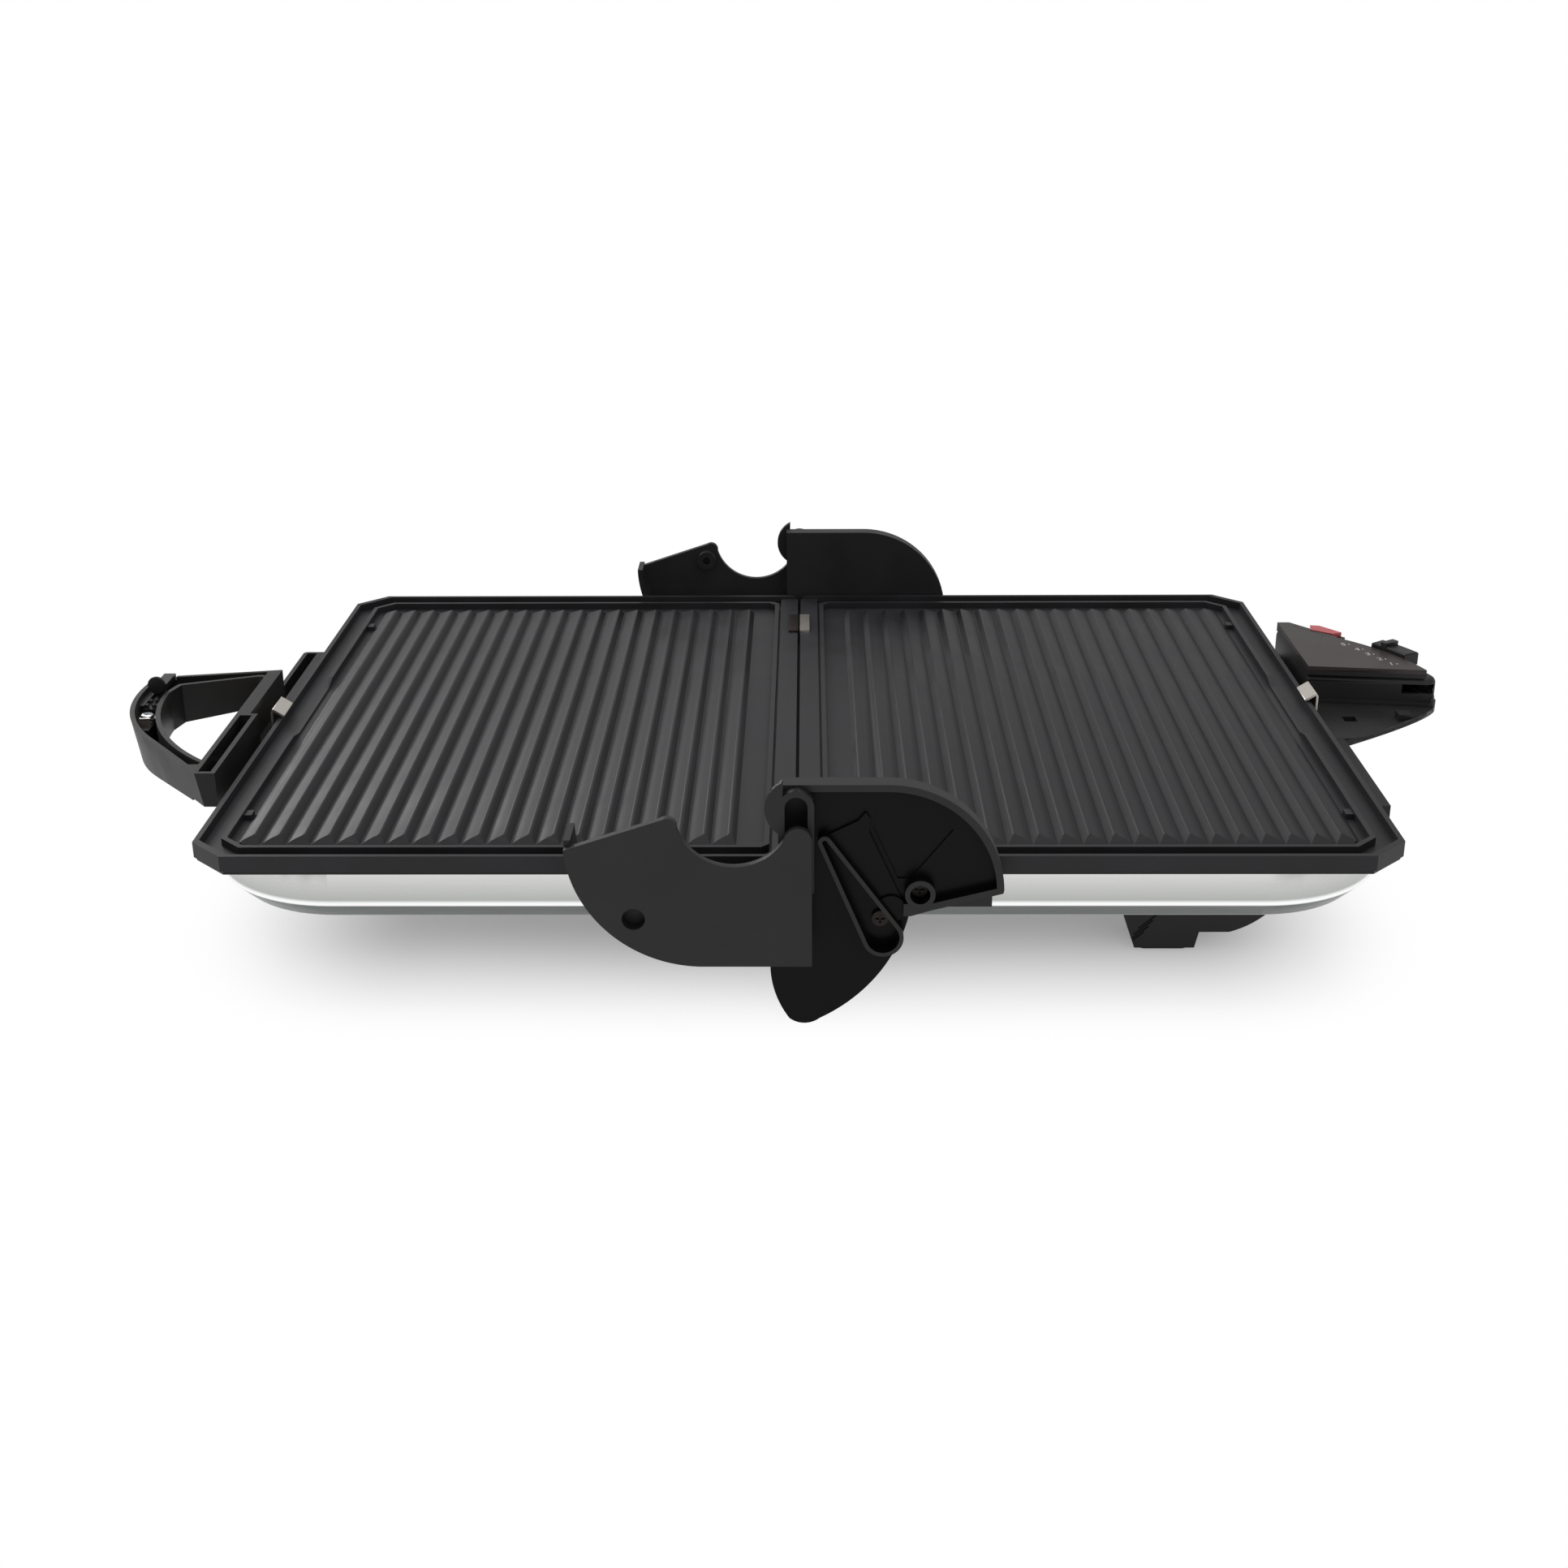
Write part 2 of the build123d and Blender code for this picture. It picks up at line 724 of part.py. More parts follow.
def side_screws(screws, seat, head_height, name, turn):
    """Screws into the pans' side walls, the near ones and their mirror images."""
    with BuildPart() as one_side:
        with BuildSketch(side_plane(seat)):
            discs(screws, side_head_radius)
        extrude(amount=head_height)
        with BuildSketch(side_plane(seat)):
            discs(screws, screw_radius)
        extrude(amount=pan_side - seat - 7)
        with BuildSketch(side_plane(seat + head_height)):
            with Locations(*screws):
                Rectangle(0.7, 3.4)
                Rectangle(3.4, 0.7)
        extrude(amount=-0.9, mode=Mode.SUBTRACT)
    with BuildPart() as pair:
        add(one_side.part)
        mirror(one_side.part, about=Plane.XZ)
    with BuildPart() as placed:
        add(pair.part, rotation=(0, 0, turn))
    save(placed.part, name)


side_screws(bracket_screws, web_outer - screw_sink, 1.8, "bracket_screws", 0)

# Lid arms: smooth covers outside the brackets, with a deep flange round their outer edge.
# They are drawn as on the base half and turned with the lid.
arm_bottom = arm_curve_z - arm_curve_radius
flange_edge = pan_side + flange_gap
seat_face = pan_side + arm_seat
pivot = (0, pivot_rise)

with BuildPart() as arm:
    with BuildSketch(side_plane(arm_inner)):
        with BuildLine():
            tip = ThreePointArc((-arm_tip, arm_tip_rise), arm_tip_top, arm_tip_end)
            notch = ThreePointArc(tip @ 1, notch_bottom, notch_end)
            shoulder = ThreePointArc(notch @ 1, shoulder_top, shoulder_end)
            curve = CenterArc(
                (arm_curve_x, arm_curve_z), arm_curve_radius, -90, 90 + arm_end_angle
            )
            Polyline(shoulder @ 1, curve @ 1)
            Polyline(curve @ 0, (-arm_tip, arm_bottom), tip @ 0)
        make_face()
    extrude(amount=arm_thickness)
    with BuildSketch(side_plane(flange_edge)):
        with BuildLine():
            sweep_angle = 90 + flange_end_angle
            outer = CenterArc((arm_curve_x, arm_curve_z), arm_curve_radius, -90, sweep_angle)
            inner = CenterArc(
                (arm_curve_x, arm_curve_z), arm_curve_radius - flange_wall, -90, sweep_angle
            )
            Line(outer @ 0, inner @ 0)
            Line(outer @ 1, inner @ 1)
        make_face()
    extrude(amount=arm_inner - flange_edge)
    block(arm_foot, (-seat_face, -pan_side), foot_height)
    with BuildSketch(side_plane(arm_inner)):
        discs([arm_peg], 4.6)
        discs([arm_hole], arm_hole_radius + 1.9)
    extrude(amount=-3.5)
    with BuildSketch(side_plane(arm_inner)):
        discs([pivot], hub_radius)
    extrude(amount=-hub_height)
    with BuildSketch(side_plane(arm_inner - 3.5)):
        discs([arm_peg], 1.8)
    extrude(amount=4.0, mode=Mode.SUBTRACT)
    with BuildSketch(side_plane(arm_outer)):
        discs([arm_hole], arm_hole_radius)
    extrude(amount=-5.5, mode=Mode.SUBTRACT)
    with BuildSketch(side_plane(arm_outer - pin_cover)):
        discs([pivot], pin_radius + fit_clearance)
    extrude(amount=-arm_thickness - hub_height, mode=Mode.SUBTRACT)
    with BuildSketch(side_plane(seat_face)):
        discs(arm_screws, side_head_radius + running_clearance)
    extrude(amount=-screw_sink, mode=Mode.SUBTRACT)
    with BuildSketch(side_plane(seat_face)):
        discs(arm_screws, screw_hole)
    extrude(amount=-arm_seat - 1, mode=Mode.SUBTRACT)
with BuildPart() as opened_arm:
    add(arm.part, rotation=(0, 0, 180))
save_both_sides(opened_arm.part, "far_arm", "near_arm")
side_screws(arm_screws, seat_face - screw_sink, 1.4, "arm_screws", 180)

# Hinge pins in the arms turn in blocks that slide in the brackets' slots.
slot_face = web_inner + slot_floor + running_clearance

with BuildPart() as hinge_pin:
    with BuildSketch(side_plane(slot_face)):
        discs([pivot], pin_radius)
    extrude(amount=arm_outer - pin_cover - fit_clearance - slot_face)
save_pair(hinge_pin.part, "hinge_pins")

with BuildPart() as slide_block:
    with BuildSketch(side_plane(slot_face)):
        upright_slot(slot_half - 0.4, slot_bottom + 0.3, slot_top - 0.5 - float_travel)
        discs([pivot], pin_radius + fit_clearance, Mode.SUBTRACT)
    extrude(amount=slot_wall_end - 0.4 - slot_face)
save_pair(slide_block.part, "slide_blocks")

# Handle: a leaning, hollow loop, drawn on the base side like the control block
slope = radians(grip_angle)
side_length = grip_half - nose_radius * sin(slope)
nose_centre = grip_x + grip_end + side_length * tan(slope) - nose_radius * cos(slope)
nose_tip = nose_centre + nose_radius
reach = nose_tip + 20  # past everything on the nose
beyond = 2 * grip_half  # past everything on the two sides


def grip_outline(grow):
    """The rounded triangle out from the bar's inner edge, grown by some millimetres."""
    with BuildSketch() as outline:
        with BuildLine():
            nose = CenterArc((nose_centre, 0), nose_radius + grow, -grip_angle, 2 * grip_angle)
            side_x = (nose @ 1).X - (grip_half - (nose @ 1).Y) * tan(slope)
            Polyline(
                nose @ 1,
                (side_x, grip_half),
                (grip_x, grip_half),
                (grip_x, -grip_half),
                (side_x, -grip_half),
                nose @ 0,
            )
        make_face()
    return outline.sketch


def wall_side(y, angle, side):
    """All on one side of a wall line that has a given Y at the bar and tilts as X grows."""
    fall = tan(radians(angle))
    with BuildSketch() as region:
        Polygon(
            (grip_x - 10, y + 10 * fall),
            (reach, y - (reach - grip_x) * fall),
            (reach, side * beyond),
            (grip_x - 10, side * beyond),
            align=None,
        )
    return region.sketch


def cut_below_floor(rise):
    """Take away what lies under the grip's floor, level at the bar and lower at the nose."""
    with BuildSketch(Plane.XZ.offset(-beyond)) as below:
        Polygon(
            (grip_x - 10, rim + trim_top + rise),
            (bar_outer + 2, rim + trim_top + rise),
            (nose_tip + 6, rim + nose_floor + rise),
            (reach, rim + nose_floor + rise - 2),
            (reach, rim - 40),
            (grip_x - 10, rim - 40),
            align=None,
        )
    extrude(below.sketch, amount=2 * beyond, mode=Mode.SUBTRACT)


def grip_form(shrink):
    """The leaning form up to the handle's far wall, drawn in by a wall's thickness."""
    with BuildPart() as form:
        for height in (nose_floor - 1, grip_rise + 1):
            with BuildSketch(Plane.XY.offset(rim + height)):
                add(grip_outline(grip_lean * (grip_rise - height) - shrink))
        loft()
        with BuildSketch(Plane.XY.offset(rim - 20)):
            add(wall_side(far_wall_y - shrink, far_wall_angle, 1))
        extrude(amount=40, mode=Mode.SUBTRACT)
        far_corner = form.edges().sort_by_distance((nose_tip, far_wall_y - 9.2, rim))[0]
        fillet(far_corner, grip_corner - shrink)
    return form.part


# The finger gap between the bar and the channel
with BuildSketch() as finger_gap:
    with BuildLine():
        palm = RadiusArc(
            (bar_outer, palm_inset - grip_half), (nose_tip - 11, far_wall_y - 30.7), -palm_radius
        )
        Polyline(
            palm @ 1, (nose_tip - 13.5, far_wall_y - 21), (bar_outer, far_wall_y - 8.7), palm @ 0
        )
    make_face()
    fillet(finger_gap.vertices().group_by(Axis.X)[-1], 4)
    fillet(finger_gap.vertices().sort_by(Axis.Y)[-1], 2)

latch_x = nose_tip - latch_inset
latch_wall_y = far_wall_y - (latch_x - grip_x) * tan(radians(far_wall_angle))
latch_far = latch_wall_y - latch_back
latch_near = latch_far - latch_length
latch_bottom = latch_seat + running_clearance
latch_plate_top = latch_bottom + latch_plate
lip_bottom = latch_plate_top + running_clearance
guide_screw = (nose_tip - guide_inset, latch_near - guide_drop)
lid_trim_near = lid_trim_inset - grip_half
bar_screws = [
    (grip_x + bar_width / 2, lid_trim_near + bar_screw_inset),
    (grip_x + (set_back + bar_width) / 2, far_wall_y - 15.2),
]
shelf_near = guide_screw[1] - 10

with BuildPart() as grip_channel:
    add(grip_form(grip_wall))
    cut_below_floor(grip_floor)
    with BuildSketch(Plane.XY.offset(rim - 20)):
        offset(finger_gap.sketch, amount=grip_wall)
        with Locations((grip_x, 0)):
            Rectangle(2 * bar_width, 2 * beyond)
    extrude(amount=40, mode=Mode.SUBTRACT)
    block((nose_tip - 11, reach), (shelf_near, beyond), (rim - 20, rim + latch_seat), Mode.SUBTRACT)

with BuildPart() as handle:
    add(grip_form(0))
    cut_below_floor(0)
    add(grip_channel.part, mode=Mode.SUBTRACT)
    with BuildSketch(Plane.XY.offset(rim - 20)):
        add(finger_gap.sketch)
    extrude(amount=40, mode=Mode.SUBTRACT)
    block((0, reach), (-beyond, beyond), (rim + grip_rise, rim + 20), Mode.SUBTRACT)
    block(
        (grip_x + grip_wall, bar_outer - grip_wall),
        (grip_wall - grip_half, set_back_start - grip_wall),
        (rim + trim_top + grip_floor, rim + 20),
        Mode.SUBTRACT,
    )
    block((0, grip_x + set_back), (set_back_start, beyond), (rim - 20, rim + 20), Mode.SUBTRACT)
    lip_run = (latch_near + 1, latch_far + latch_travel - 2.5)
    for side in (-1, 1):
        edge = latch_x + side * (latch_half + running_clearance)
        block(
            sorted((edge - side * lip_overlap, edge + side * lip_width)),
            lip_run,
            (rim + lip_bottom, rim + lip_bottom + lip_height),
        )
        block(
            sorted((edge, edge + side * lip_width)),
            lip_run,
            (rim + latch_seat - 1, rim + lip_bottom + lip_height),
        )
    tongue_room = tongue_half + running_clearance
    block(
        (latch_x - tongue_room, latch_x + tongue_room),
        (latch_wall_y - 11.3, latch_wall_y + 3.7),
        (rim + tongue_bottom - running_clearance, rim + grip_rise + 1),
        Mode.SUBTRACT,
    )
    with BuildSketch(Plane.XY.offset(rim + latch_seat)):
        discs([guide_screw], guide_bore)
    extrude(amount=-6, mode=Mode.SUBTRACT)
    with BuildSketch(Plane.XY.offset(rim + trim_top)):
        discs(bar_screws, guide_bore)
    extrude(amount=6.5, mode=Mode.SUBTRACT)
save_mirrored(handle.part, "handle")

# The latch slides along the channel between two lips; its tongue leaves through a notch.
tongue_end = latch_wall_y - tongue_back
tab_foot = lip_bottom + lip_height + running_clearance

with BuildPart() as latch:
    block(
        (latch_x - latch_half, latch_x + latch_half),
        (latch_near, latch_far),
        (rim + latch_bottom, rim + latch_plate_top),
    )
    with BuildSketch(Plane.XY.offset(rim + latch_plate_top)):
        with Locations((latch_x, latch_near + latch_length / 2 - 4)):
            with GridLocations(2.8, 5.5, 2, 2):
                Circle(peg_radius)
    extrude(amount=1.6)
    with BuildSketch(Plane.XZ.offset(-latch_far)):
        with Locations((latch_x, rim + tab_shoulder)):
            Circle(tab_half)
        with Locations((latch_x, rim + (tab_foot + tab_shoulder) / 2)):
            Rectangle(2 * tab_half, tab_shoulder - tab_foot)
        with Locations((latch_x, rim + (latch_bottom + tab_foot + 1) / 2)):
            Rectangle(3, tab_foot + 1 - latch_bottom)
    extrude(amount=2.0)
    block(
        (latch_x - tongue_half, latch_x + tongue_half),
        (latch_far - 1, tongue_end),
        (rim + tongue_bottom, rim + tongue_top),
    )
save_mirrored(latch.part, "latch")

guide_top = rim + latch_seat + guide_plate
washer_top = guide_top + washer_thickness

with BuildPart() as latch_guide:
    with BuildSketch(Plane.XY.offset(rim + latch_seat)):
        with Locations(guide_screw):
            RectangleRounded(5.0, 9, 0.8)
            Circle(guide_bore, mode=Mode.SUBTRACT)
    extrude(amount=guide_plate)
    with BuildSketch(Plane.XY.offset(guide_top)):
        with Locations((guide_screw[0], guide_screw[1] - 4.0)):
            Rectangle(4.6, 1)
    extrude(amount=2)
save_mirrored(latch_guide.part, "latch_guide")

with BuildPart() as latch_screw:
    with BuildSketch(Plane.XY.offset(guide_top)):
        discs([guide_screw], washer_radius)
    extrude(amount=washer_thickness)
    with BuildSketch(Plane.XY.offset(washer_top)):
        discs([guide_screw], washer_radius - 0.6)
    extrude(amount=1.8)
    fillet(latch_screw.edges().group_by(Axis.Z)[-1], 1.2)
    with BuildSketch(Plane.XY.offset(washer_top + 1.8)):
        with Locations(guide_screw):
            Rectangle(0.7, 3)
            Rectangle(3, 0.7)
    extrude(amount=-0.8, mode=Mode.SUBTRACT)
    with BuildSketch(Plane.XY.offset(guide_top)):
        discs([guide_screw], guide_bore - 0.1)
    extrude(amount=-6.5)
save_mirrored(latch_screw.part, "latch_screw")

# Trims: plastic strips along the pans' outer walls that carry the handle and close the base
lid_trim_x = grip_x + lid_trim_step
clip_room = (clip_centre - ear_middle - 1.3, clip_centre + ear_middle + 1.3)
clip_room_x = clip_x + 3.9
lid_trim_bottom = rim + trim_top - trim_depth

with BuildPart() as lid_trim:
    lid_trim_far = grip_half + 0.5
    block((pan_outer, lid_trim_x), (lid_trim_near, lid_trim_far), (lid_trim_bottom, rim + trim_top))
    block(
        (lid_trim_x - 6.5, lid_trim_x - lid_trim_border),
        (far_wall_y + 1.8, lid_trim_far - lid_trim_border),
        (lid_trim_bottom + lid_trim_border, rim + trim_top),
        Mode.SUBTRACT,
    )
    block((pan_outer, clip_room_x), (-clip_room[1], -clip_room[0]), (lid_trim_bottom, rim), Mode.SUBTRACT)
    fillet(lid_trim.edges().filter_by(Axis.Z).group_by(Axis.X)[-1], 2)
    with BuildSketch(Plane.XY.offset(lid_trim_bottom)):
        discs(bar_screws, guide_bore)
    extrude(amount=trim_depth, mode=Mode.SUBTRACT)
save_mirrored(lid_trim.part, "lid_trim")

with BuildPart() as handle_screws:
    with BuildSketch(Plane.XY.offset(lid_trim_bottom)):
        discs(bar_screws, screw_head_radius - 0.2)
    extrude(amount=-screw_head_height)
    with BuildSketch(Plane.XY.offset(lid_trim_bottom)):
        discs(bar_screws, guide_bore - 0.1)
    extrude(amount=trim_depth + 6)
save_mirrored(handle_screws.part, "handle_screws")

deck_x = grip_x + deck_step
deck_top = rim + deck_drop

with BuildPart() as base_trim:
    block((pan_outer, deck_x), (4.5 - grip_half, deck_near), (deck_top - trim_depth, deck_top))
    block((pan_outer, grip_x), (deck_near, grip_half), (deck_top - trim_depth, deck_top))
    block((pan_outer, clip_room_x), clip_room, (deck_top - 9, rim), Mode.SUBTRACT)
save(base_trim.part, "base_trim")

# Control housing: the raised block holds the thermostat; a low deck lies in front of it
housing_base = rim + housing_floor
shoulder_z = rim + shoulder_rise
block_top = rim + grip_rise - cover_thickness
stem_radius = nose_radius + stem_offset
stem_room = stem_half_width + running_clearance
tab_start = knob_end + slider_turn + 0.4
slot_low = 2 * pivot_rise - tongue_top - 0.8
slot_high = 2 * pivot_rise - tongue_bottom + 1.2


def housing_outline(grow, wall_gap=0):
    """The raised block's outline, grown on its curved side and drawn in at its end walls."""
    with BuildSketch() as outline:
        add(grip_outline(grow))
        add(wall_side(near_wall_y + wall_gap, wall_angle, -1), mode=Mode.SUBTRACT)
        with Locations((0, beyond - wall_gap)):
            Rectangle(2 * reach, beyond, mode=Mode.SUBTRACT)
        Rectangle(2 * (grip_x + wall_gap), 2 * beyond, mode=Mode.SUBTRACT)
    return outline.sketch


def ring_sector(inner, outer, start, end, mode=Mode.ADD):
    """A piece of a ring about the nose's centre."""
    with BuildSketch() as sector:
        with BuildLine():
            low = CenterArc((nose_centre, 0), inner, start, end - start)
            high = CenterArc((nose_centre, 0), outer, start, end - start)
            Line(low @ 0, high @ 0)
            Line(low @ 1, high @ 1)
        make_face()
    add(sector.sketch, mode=mode)


with BuildSketch() as deck_outline:
    with BuildLine():
        front = ThreePointArc(
            (deck_x, deck_near), (nose_tip - 23, deck_near + 12.5), (nose_tip + 1, near_wall_y - 3.3)
        )
        Polyline(
            front @ 1,
            (nose_tip + 1, near_wall_y + 0.7),
            (grip_x, near_wall_y + 0.7),
            (grip_x, deck_near),
            front @ 0,
        )
    make_face()

# The slider runs on an arc, so the cover's edge follows that arc past the nose.
with BuildSketch() as cover_outline:
    add(housing_outline(-cover_inset))
    ring_sector(
        nose_radius - cover_inset,
        nose_radius + housing_grow,
        knob_start - slider_turn - 1,
        tab_start + 0.5,
        Mode.SUBTRACT,
    )

with BuildSketch() as lens_outline:
    add(grip_outline(-cover_inset))
    add(grip_outline(-cover_inset - lens_width), mode=Mode.SUBTRACT)
    with Locations((grip_x, grip_half - lens_from_end + lens_length / 2)):
        Rectangle(2 * nose_radius, lens_length, mode=Mode.INTERSECT)

with BuildPart() as housing_shell:
    with BuildSketch(Plane.XY.offset(housing_base)):
        add(housing_outline(housing_grow))
    extrude(amount=shoulder_z - housing_base)
    nose_corner = housing_shell.edges().filter_by(Axis.Z).sort_by(Axis.X)[-1]
    fillet(nose_corner, housing_corner)
    top_edges = housing_shell.edges().group_by(Axis.Z)[-1]
    wall_edges = top_edges.filter_by(GeomType.LINE).sort_by(Axis.Y)[0:1]
    wall_edges += top_edges.filter_by(GeomType.LINE).sort_by(Axis.X)[0:1]
    fillet(top_edges.filter_by(lambda edge: edge not in wall_edges), shoulder_round)
    with BuildSketch(Plane.XY.offset(housing_base)):
        add(deck_outline.sketch)
    extrude(amount=deck_top - housing_base)

with BuildPart() as control_housing:
    add(housing_shell.part)
    with BuildSketch(Plane.XY.offset(deck_top)):
        add(deck_outline.sketch)
        add(wall_side(near_wall_y - ledge_width, wall_angle, -1), mode=Mode.SUBTRACT)
    extrude(amount=ledge_height)
    with BuildSketch(Plane.XY.offset(shoulder_z)):
        add(cover_outline.sketch)
    extrude(amount=block_top - shoulder_z)
    with BuildSketch(Plane.XY.offset(shoulder_z)):
        ring_sector(nose_radius + 0.6, nose_radius + 5.0, tab_start, tab_start + 3.5)
    extrude(amount=2.5)
    with BuildSketch(Plane.XY.offset(housing_base + housing_wall)):
        add(housing_outline(housing_grow - housing_wall, housing_wall))
    extrude(amount=shoulder_z - 2.2 - housing_base - housing_wall, mode=Mode.SUBTRACT)
    with BuildSketch(Plane.XY.offset(housing_base + housing_wall)):
        offset(deck_outline.sketch, amount=-housing_wall)
    extrude(amount=deck_top - housing_base - 2 * housing_wall, mode=Mode.SUBTRACT)
    block(
        (latch_x - 9.7, latch_x + 4.3),
        (near_wall_y - 11.3, near_wall_y),
        (rim + slot_low, rim + slot_high),
        Mode.SUBTRACT,
    )
    with BuildSketch(Plane.XY.offset(deck_top + ledge_height)):
        add(wall_side(near_wall_y + 0.8, wall_angle, -1))
        with Locations((latch_x + 1.3, 0)):
            Rectangle(8, 2 * beyond, mode=Mode.INTERSECT)
    extrude(amount=rim + slot_low - deck_top - ledge_height, mode=Mode.SUBTRACT)
    with BuildSketch(Plane.XY.offset(rim - 8)):
        ring_sector(
            stem_radius - stem_room,
            stem_radius + stem_room,
            stem_angle - stem_half - slider_turn - 0.6,
            stem_angle + stem_half + slider_turn + 0.6,
        )
    extrude(amount=13, mode=Mode.SUBTRACT)
    block((0, clip_room_x), clip_room, (deck_top - 9, rim), Mode.SUBTRACT)
    for window in (grip_x + 13.7, grip_x + 36.7):
        block(
            (window - 2.8, window + 2.8),
            (near_wall_y - 27.3, near_wall_y - 21.3),
            (deck_top - 4, deck_top + 1),
            Mode.SUBTRACT,
        )
    with BuildSketch(Plane.XY.offset(rim)):
        add(lens_outline.sketch)
    extrude(amount=10, mode=Mode.SUBTRACT)
save(control_housing.part, "control_housing")

with BuildPart() as control_cover:
    with BuildSketch(Plane.XY.offset(block_top)):
        add(cover_outline.sketch)
        offset(lens_outline.sketch, amount=lens_gap, mode=Mode.SUBTRACT)
    extrude(amount=cover_thickness)
save(control_cover.part, "control_cover")

with BuildPart() as indicator_lens:
    with BuildSketch(Plane.XY.offset(rim)):
        add(lens_outline.sketch)
    extrude(amount=grip_rise)
save(indicator_lens.part, "indicator_lens")

lamp_y = grip_half - lens_from_end + lens_length / 2
lamp_out = nose_radius - cover_inset - lens_width / 2
lamp = (nose_centre + (lamp_out - lamp_y * sin(slope)) / cos(slope), lamp_y)

with BuildPart() as indicator_lamp:
    with BuildSketch(Plane.XY.offset(rim - running_clearance)):
        discs([lamp], lamp_radius)
    extrude(amount=-10)
    with BuildSketch(Plane.XY.offset(rim - running_clearance - 10)):
        with Locations(lamp):
            Rectangle(5, 8)
    extrude(amount=housing_base + housing_wall - rim + running_clearance + 10)
save(indicator_lamp.part, "indicator_lamp")

# Thermostat, driven by the slider whose stem comes down through the curved slot
thermostat_x = grip_x + 4.7
thermostat_y = (near_wall_y + thermostat_gap, grip_half - 23.5)
thermostat_top = rim - 12
spindle = (thermostat_x + 13, sum(thermostat_y) / 2)

with BuildPart() as thermostat:
    block(
        (thermostat_x, thermostat_x + thermostat_width),
        thermostat_y,
        (housing_base + housing_wall, thermostat_top),
    )
    with BuildSketch(Plane.XY.offset(thermostat_top)):
        discs([spindle], 2 * spindle_radius)
    extrude(amount=4)
    with BuildSketch(Plane.XY.offset(thermostat_top + 4)):
        discs([spindle], spindle_radius)
    extrude(amount=6)
save(thermostat.part, "thermostat")

knob_inner = nose_radius - cover_inset + knob_gap
knob_outer = knob_inner + knob_width
knob_bottom = shoulder_z + running_clearance

with BuildPart() as temperature_slider:
    with BuildSketch(Plane.XY.offset(knob_bottom)):
        ring_sector(knob_inner, knob_outer, knob_start, knob_end)
    extrude(amount=knob_height)
    fillet(temperature_slider.edges().group_by(Axis.Z)[-1], 0.8)
    with BuildSketch(Plane.XY.offset(knob_bottom + knob_height - 1)):
        ring_sector(
            knob_inner, knob_outer, pointer_angle - pointer_half, pointer_angle + pointer_half
        )
    extrude(amount=2.6)
    with BuildSketch(Plane.XY.offset(rim - 6)):
        ring_sector(
            stem_radius - stem_half_width,
            stem_radius + stem_half_width,
            stem_angle - stem_half,
            stem_angle + stem_half,
        )
    extrude(amount=knob_bottom + 1 - rim + 6)
save(temperature_slider.part, "temperature_slider")

gland = (grip_x + gland_offset, rim + gland_rise)

with BuildPart() as cord_gland:
    with BuildSketch(Plane.XZ.offset(-grip_half)):
        discs([gland], gland_bore + 2.9)
    extrude(amount=-3)
    with BuildSketch(Plane.XZ.offset(-grip_half - 3)):
        discs([gland], gland_bore + 1.4)
    extrude(amount=-6)
    with BuildSketch(Plane.XZ.offset(-grip_half - 9)):
        discs([gland], gland_bore)
    extrude(amount=gland_depth, mode=Mode.SUBTRACT)
save(cord_gland.part, "cord_gland")

# Feet of the base half, under the pan, with rubber pads
foot_x = plate_width - foot_offset
foot_near, foot_far = half_length - foot_near_inset, half_length - foot_far_inset
foot_middle = (foot_near + foot_far) / 2
sole_z = pad_thickness - plate_height
foot_top = pan_bottom - rim

with BuildPart() as foot:
    with BuildSketch(side_plane(foot_near)):
        with BuildLine():
            sole = Polyline(
                (foot_x, foot_top),
                (foot_x - sole_start - 12, foot_top),
                (foot_x - sole_start, sole_z),
                (foot_x - sole_end, sole_z),
                (foot_x - sole_end + 1.5, sole_z + 6.8),
                (foot_x - 25, sole_z + 6.8),
            )
            ThreePointArc(sole @ 1, (foot_x - 9, sole_z + 16.5), sole @ 0)
        make_face()
    extrude(amount=foot_far - foot_near)
    with BuildSketch(side_plane(foot_far)):
        for index in range(4):
            with Locations((foot_x - sole_start + 1.5 * index, sole_z + 4 + 2.5 * index)):
                Rectangle(9, 0.6, rotation=42)
    extrude(amount=-0.6, mode=Mode.SUBTRACT)
save_pair(foot.part, "base_feet")

with BuildPart() as foot_pad:
    with BuildSketch(Plane.XY):
        with Locations((foot_x - (sole_start + sole_end) / 2, -foot_middle)):
            RectangleRounded(sole_start - sole_end - 3.4, foot_far - foot_near - 5, 3)
    extrude(amount=pad_thickness)
save_pair(foot_pad.part, "foot_pads")
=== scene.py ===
import json
from math import cos, radians, sin, sqrt, tan

import bpy
from mathutils import Matrix, Vector


